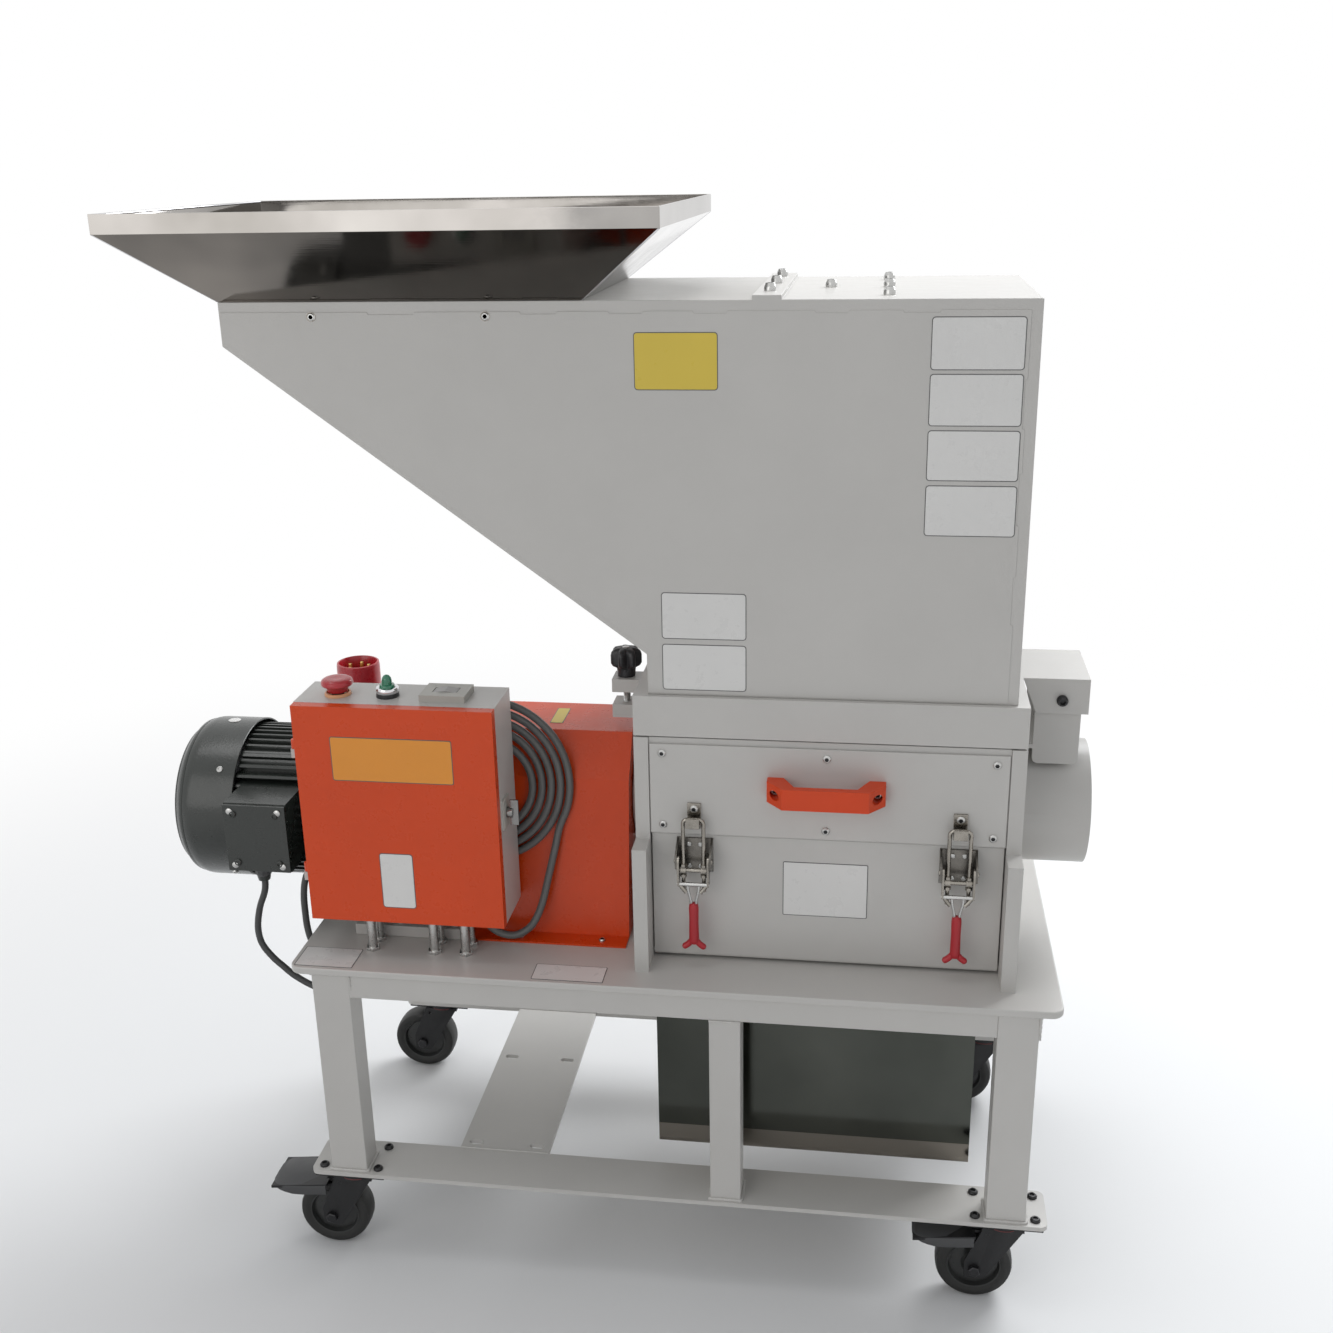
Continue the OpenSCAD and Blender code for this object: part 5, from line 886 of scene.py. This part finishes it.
for end in ("front_left", "front_right", "rear_left", "rear_right"):
    cx = LEFT if "left" in end else RIGHT
    cy = NEAR if "front" in end else FAR
    fork, wheel = "fork_" + end, "wheel_" + end
    finished(fork, "caster", 0.0014, 3)
    ax = (cx - TRAIL, cy, AXLE_Z)
    tyre = lathe("tyre_" + end, both_sides(tread), ax, (0, 1, 0), "tyre", wheel, 64)
    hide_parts(wheel)
    lathe("rim_" + end, both_sides(disc), ax, (0, 1, 0), "hub", wheel, 48)
    for s in (-1, 1):
        lathe("axle_nut_%s_%s" % (end, "f" if s < 0 else "b"),
              [(0, 0), (8, 0), (8, 5.2), (6.6, 6.2), (0, 6.2)], (ax[0], cy + s * 23.0, ax[2]), (0, s, 0),
              "black_oxide_and_socket_shade", fork, 6, 0.0004)
    lathe("swivel_seal_" + end, [(20, -335.2), (25.6, -335.2), (26.4, -334.2), (25.6, -333.0),
                                 (20, -333.0)], (cx, cy, 0), (0, 0, 1), "swivel_red", fork, 40)
finished("caster_plates", "caster", 0.0006)
cover_reach, nose_z, cover_rise = 116.6, -349.6, 7.4
for side in ("left", "right"):
    cx = LEFT if side == "left" else RIGHT
    finished("pedal_" + side, "caster", 0.0010)
    # Moulded cover: rounded nose, crowned top, side skirts that deepen towards the fork
    bm = bmesh.new()
    rows = []
    for d, half, skirt in ((0, 17, 2.5), (1.2, 20.5, 3), (4, 25, 4), (8, 28.6, 5.4), (13, 30.6, 7.4),
                           (20, 31.4, 10), (30, 31.5, 13), (45, 31.5, 14), (79, 31.5, 14)):
        x = cx - cover_reach + d
        top = nose_z + cover_rise * d / 80 + 0.6 * math.sin(math.pi * min(1, d / 40))
        low = top - 1.6 - skirt
        roof = low if d < 3 else top - 2.4
        edge = 0.5 if d < 1 else 2.6
        outer = [(-half, low), (-half, top - edge), (-half + 0.9, top - 0.35 * edge), (-half + 2.6, top),
                 (0, top + 0.7), (half - 2.6, top), (half - 0.9, top - 0.35 * edge), (half, top - edge),
                 (half, low)]
        inner = [(half - 2, low), (half - 2, roof), (0, roof), (-half + 2, roof), (-half + 2, low)]
        rows.append([bm.verts.new(bench(x, NEAR + y, z)) for y, z in outer + inner])
    ring = len(rows[0])
    for ra, rb in zip(rows, rows[1:]):
        for j in range(ring):
            bm.faces.new((ra[j], ra[(j + 1) % ring], rb[(j + 1) % ring], rb[j]))
    bm.faces.new(rows[0])
    bm.faces.new(rows[-1][::-1])
    add("pedal_cover_" + side, from_bm(bm, "cover"), "dark_grey", "pedal_" + side, 0, 2, 32)


# Blank plates where the photograph has printed ones
def blank(name, x0, z0, x1, z1, y, mat, body, r=3):
    """Bare plate with a thin dark edge on a front at y."""
    prism(name, rounded(x0, z0, x1, z1, r), on_front, (y - 0.3, y + 0.02), "plate_edge", body, 0.1, 1)
    prism(name + "_face", rounded(x0 + 1, z0 + 1, x1 - 1, z1 - 1, r - 0.8), on_front, (y - 0.42, y - 0.2),
          mat, body, 0.08, 1)


blank("blank_plate_hopper", 460, 731, 556, 796, FRONT, "plate_yellow", "hopper", 4)
for i, (z0, z1) in enumerate(((754, 812), (692, 750), (630, 687.5), (566, 625))):
    blank("blank_plate_column_%d" % i, 791.5, z0, 893.5, z1, FRONT, "plate_pale", "hopper", 4)
blank("blank_plate_low_a", 486, 434, 588, 492, FRONT, "plate_pale", "hopper", 4)
blank("blank_plate_low_b", 486, 369, 588, 427.5, FRONT, "plate_pale", "hopper", 4)
blank("blank_plate_door", 634, 70, 740, 145, 80, "plate_pale", "door", 2)
blank("blank_plate_box", 74, 252, 230, 311, 32, "plate_amber", "box_door", 3)
blank("blank_plate_box_low", 125, 77, 169, 154, 32, "plate_pale", "box_door", 4)
for name, x0, y0, x1, y1, z, mat in (("table_a", 6, 6, 84, 54, 0, "plate_pale"),
                                     ("table_b", 320, 6, 413, 44, 0, "plate_pale"),
                                     ("guard", 312, 212, 330, 268, 268, "plate_yellow")):
    prism("blank_plate_" + name, rounded(x0, y0, x1, y1, 2), on_top, (z - 0.02, z + 0.3), "plate_edge",
          "frame", 0.1, 1)
    prism("blank_plate_%s_face" % name, rounded(x0 + 1, y0 + 1, x1 - 1, y1 - 1, 1.2), on_top,
          (z + 0.2, z + 0.42), mat, "frame", 0.08, 1)


# Floor, backdrop and light
def any_ray(nt, *rays):
    """One for these kinds of ray, else zero."""
    path = nt.nodes.new("ShaderNodeLightPath")
    out = path.outputs[rays[0]]
    for ray in rays[1:]:
        larger = node(nt, "ShaderNodeMath", operation="MAXIMUM")
        nt.links.new(out, larger.inputs[0])
        nt.links.new(path.outputs[ray], larger.inputs[1])
        out = larger.outputs[0]
    return out


def mixed(nt, share, first, second, output):
    """First shader, passing to the second as share goes to one, into the output."""
    mix = nt.nodes.new("ShaderNodeMixShader")
    nt.links.new(share, mix.inputs["Fac"])
    nt.links.new(first, mix.inputs[1])
    nt.links.new(second, mix.inputs[2])
    nt.links.new(mix.outputs["Shader"], nt.nodes[output].inputs["Surface"])


wide, low = 25, -0.0005
corners = [(-wide, -wide, low), (wide, -wide, low), (wide, wide, low), (-wide, wide, low)]
floor_mesh = bpy.data.meshes.new("floor")
floor_mesh.from_pydata(corners, [], [(0, 1, 2, 3)])
floor = bpy.data.objects.new("floor", floor_mesh)
scene.collection.objects.link(floor)
fm, nt, p = new_mat("pale_floor")
p.inputs["Base Color"].default_value = (0.80, 0.80, 0.80, 1)
p.inputs["Roughness"].default_value = 0.6
tc = nt.nodes.new("ShaderNodeTexCoord")
ln = node(nt, "ShaderNodeVectorMath", operation="LENGTH")
nt.links.new(tc.outputs["Object"], ln.inputs[0])
mr = node(nt, "ShaderNodeMapRange")
mr.interpolation_type = "SMOOTHSTEP"
mr.inputs["From Min"].default_value = 0.7
mr.inputs["From Max"].default_value = 2.6
nt.links.new(ln.outputs["Value"], mr.inputs["Value"])
mul = node(nt, "ShaderNodeMath", operation="MULTIPLY")
nt.links.new(any_ray(nt, "Is Camera Ray", "Is Glossy Ray"), mul.inputs[0])
nt.links.new(mr.outputs["Result"], mul.inputs[1])
em = node(nt, "ShaderNodeEmission", Color=(1, 1, 1, 1), Strength=1.0)
mixed(nt, mul.outputs[0], p.outputs["BSDF"], em.outputs["Emission"], "Material Output")
floor.data.materials.append(fm)

world = bpy.data.worlds.new("studio")
scene.world = world
world.use_nodes = True
nt = world.node_tree
bg = nt.nodes["Background"]
bg.inputs["Color"].default_value = (0.93, 0.96, 1.0, 1)
bg.inputs["Strength"].default_value = 0.44
white = node(nt, "ShaderNodeBackground", Color=(1, 1, 1, 1), Strength=1.0)
seen = any_ray(nt, "Is Camera Ray", "Is Transmission Ray", "Is Glossy Ray")
mixed(nt, seen, bg.outputs["Background"], white.outputs["Background"], "World Output")


def area(name, at, to, size, watts, color):
    """Square area light at a place, turned to another."""
    li = bpy.data.lights.new(name, "AREA")
    li.energy = watts
    li.size = size
    li.color = color
    ob = bpy.data.objects.new(name, li)
    scene.collection.objects.link(ob)
    ob.location = at
    ob.rotation_euler = (Vector(to) - Vector(at)).to_track_quat("-Z", "Y").to_euler()


area("window_behind", (2.0, 2.4, 3.1), (0, 0, 0.8), 2.4, 125, (0.96, 0.98, 1.0))
area("soft_top", (-0.6, 0.3, 3.6), (0, 0, 0.8), 2.4, 38, (1.0, 1.0, 1.0))
area("front_fill", (-1.8, -3.2, 2.1), (0, 0, 0.8), 2.6, 24, (1.0, 0.985, 0.96))
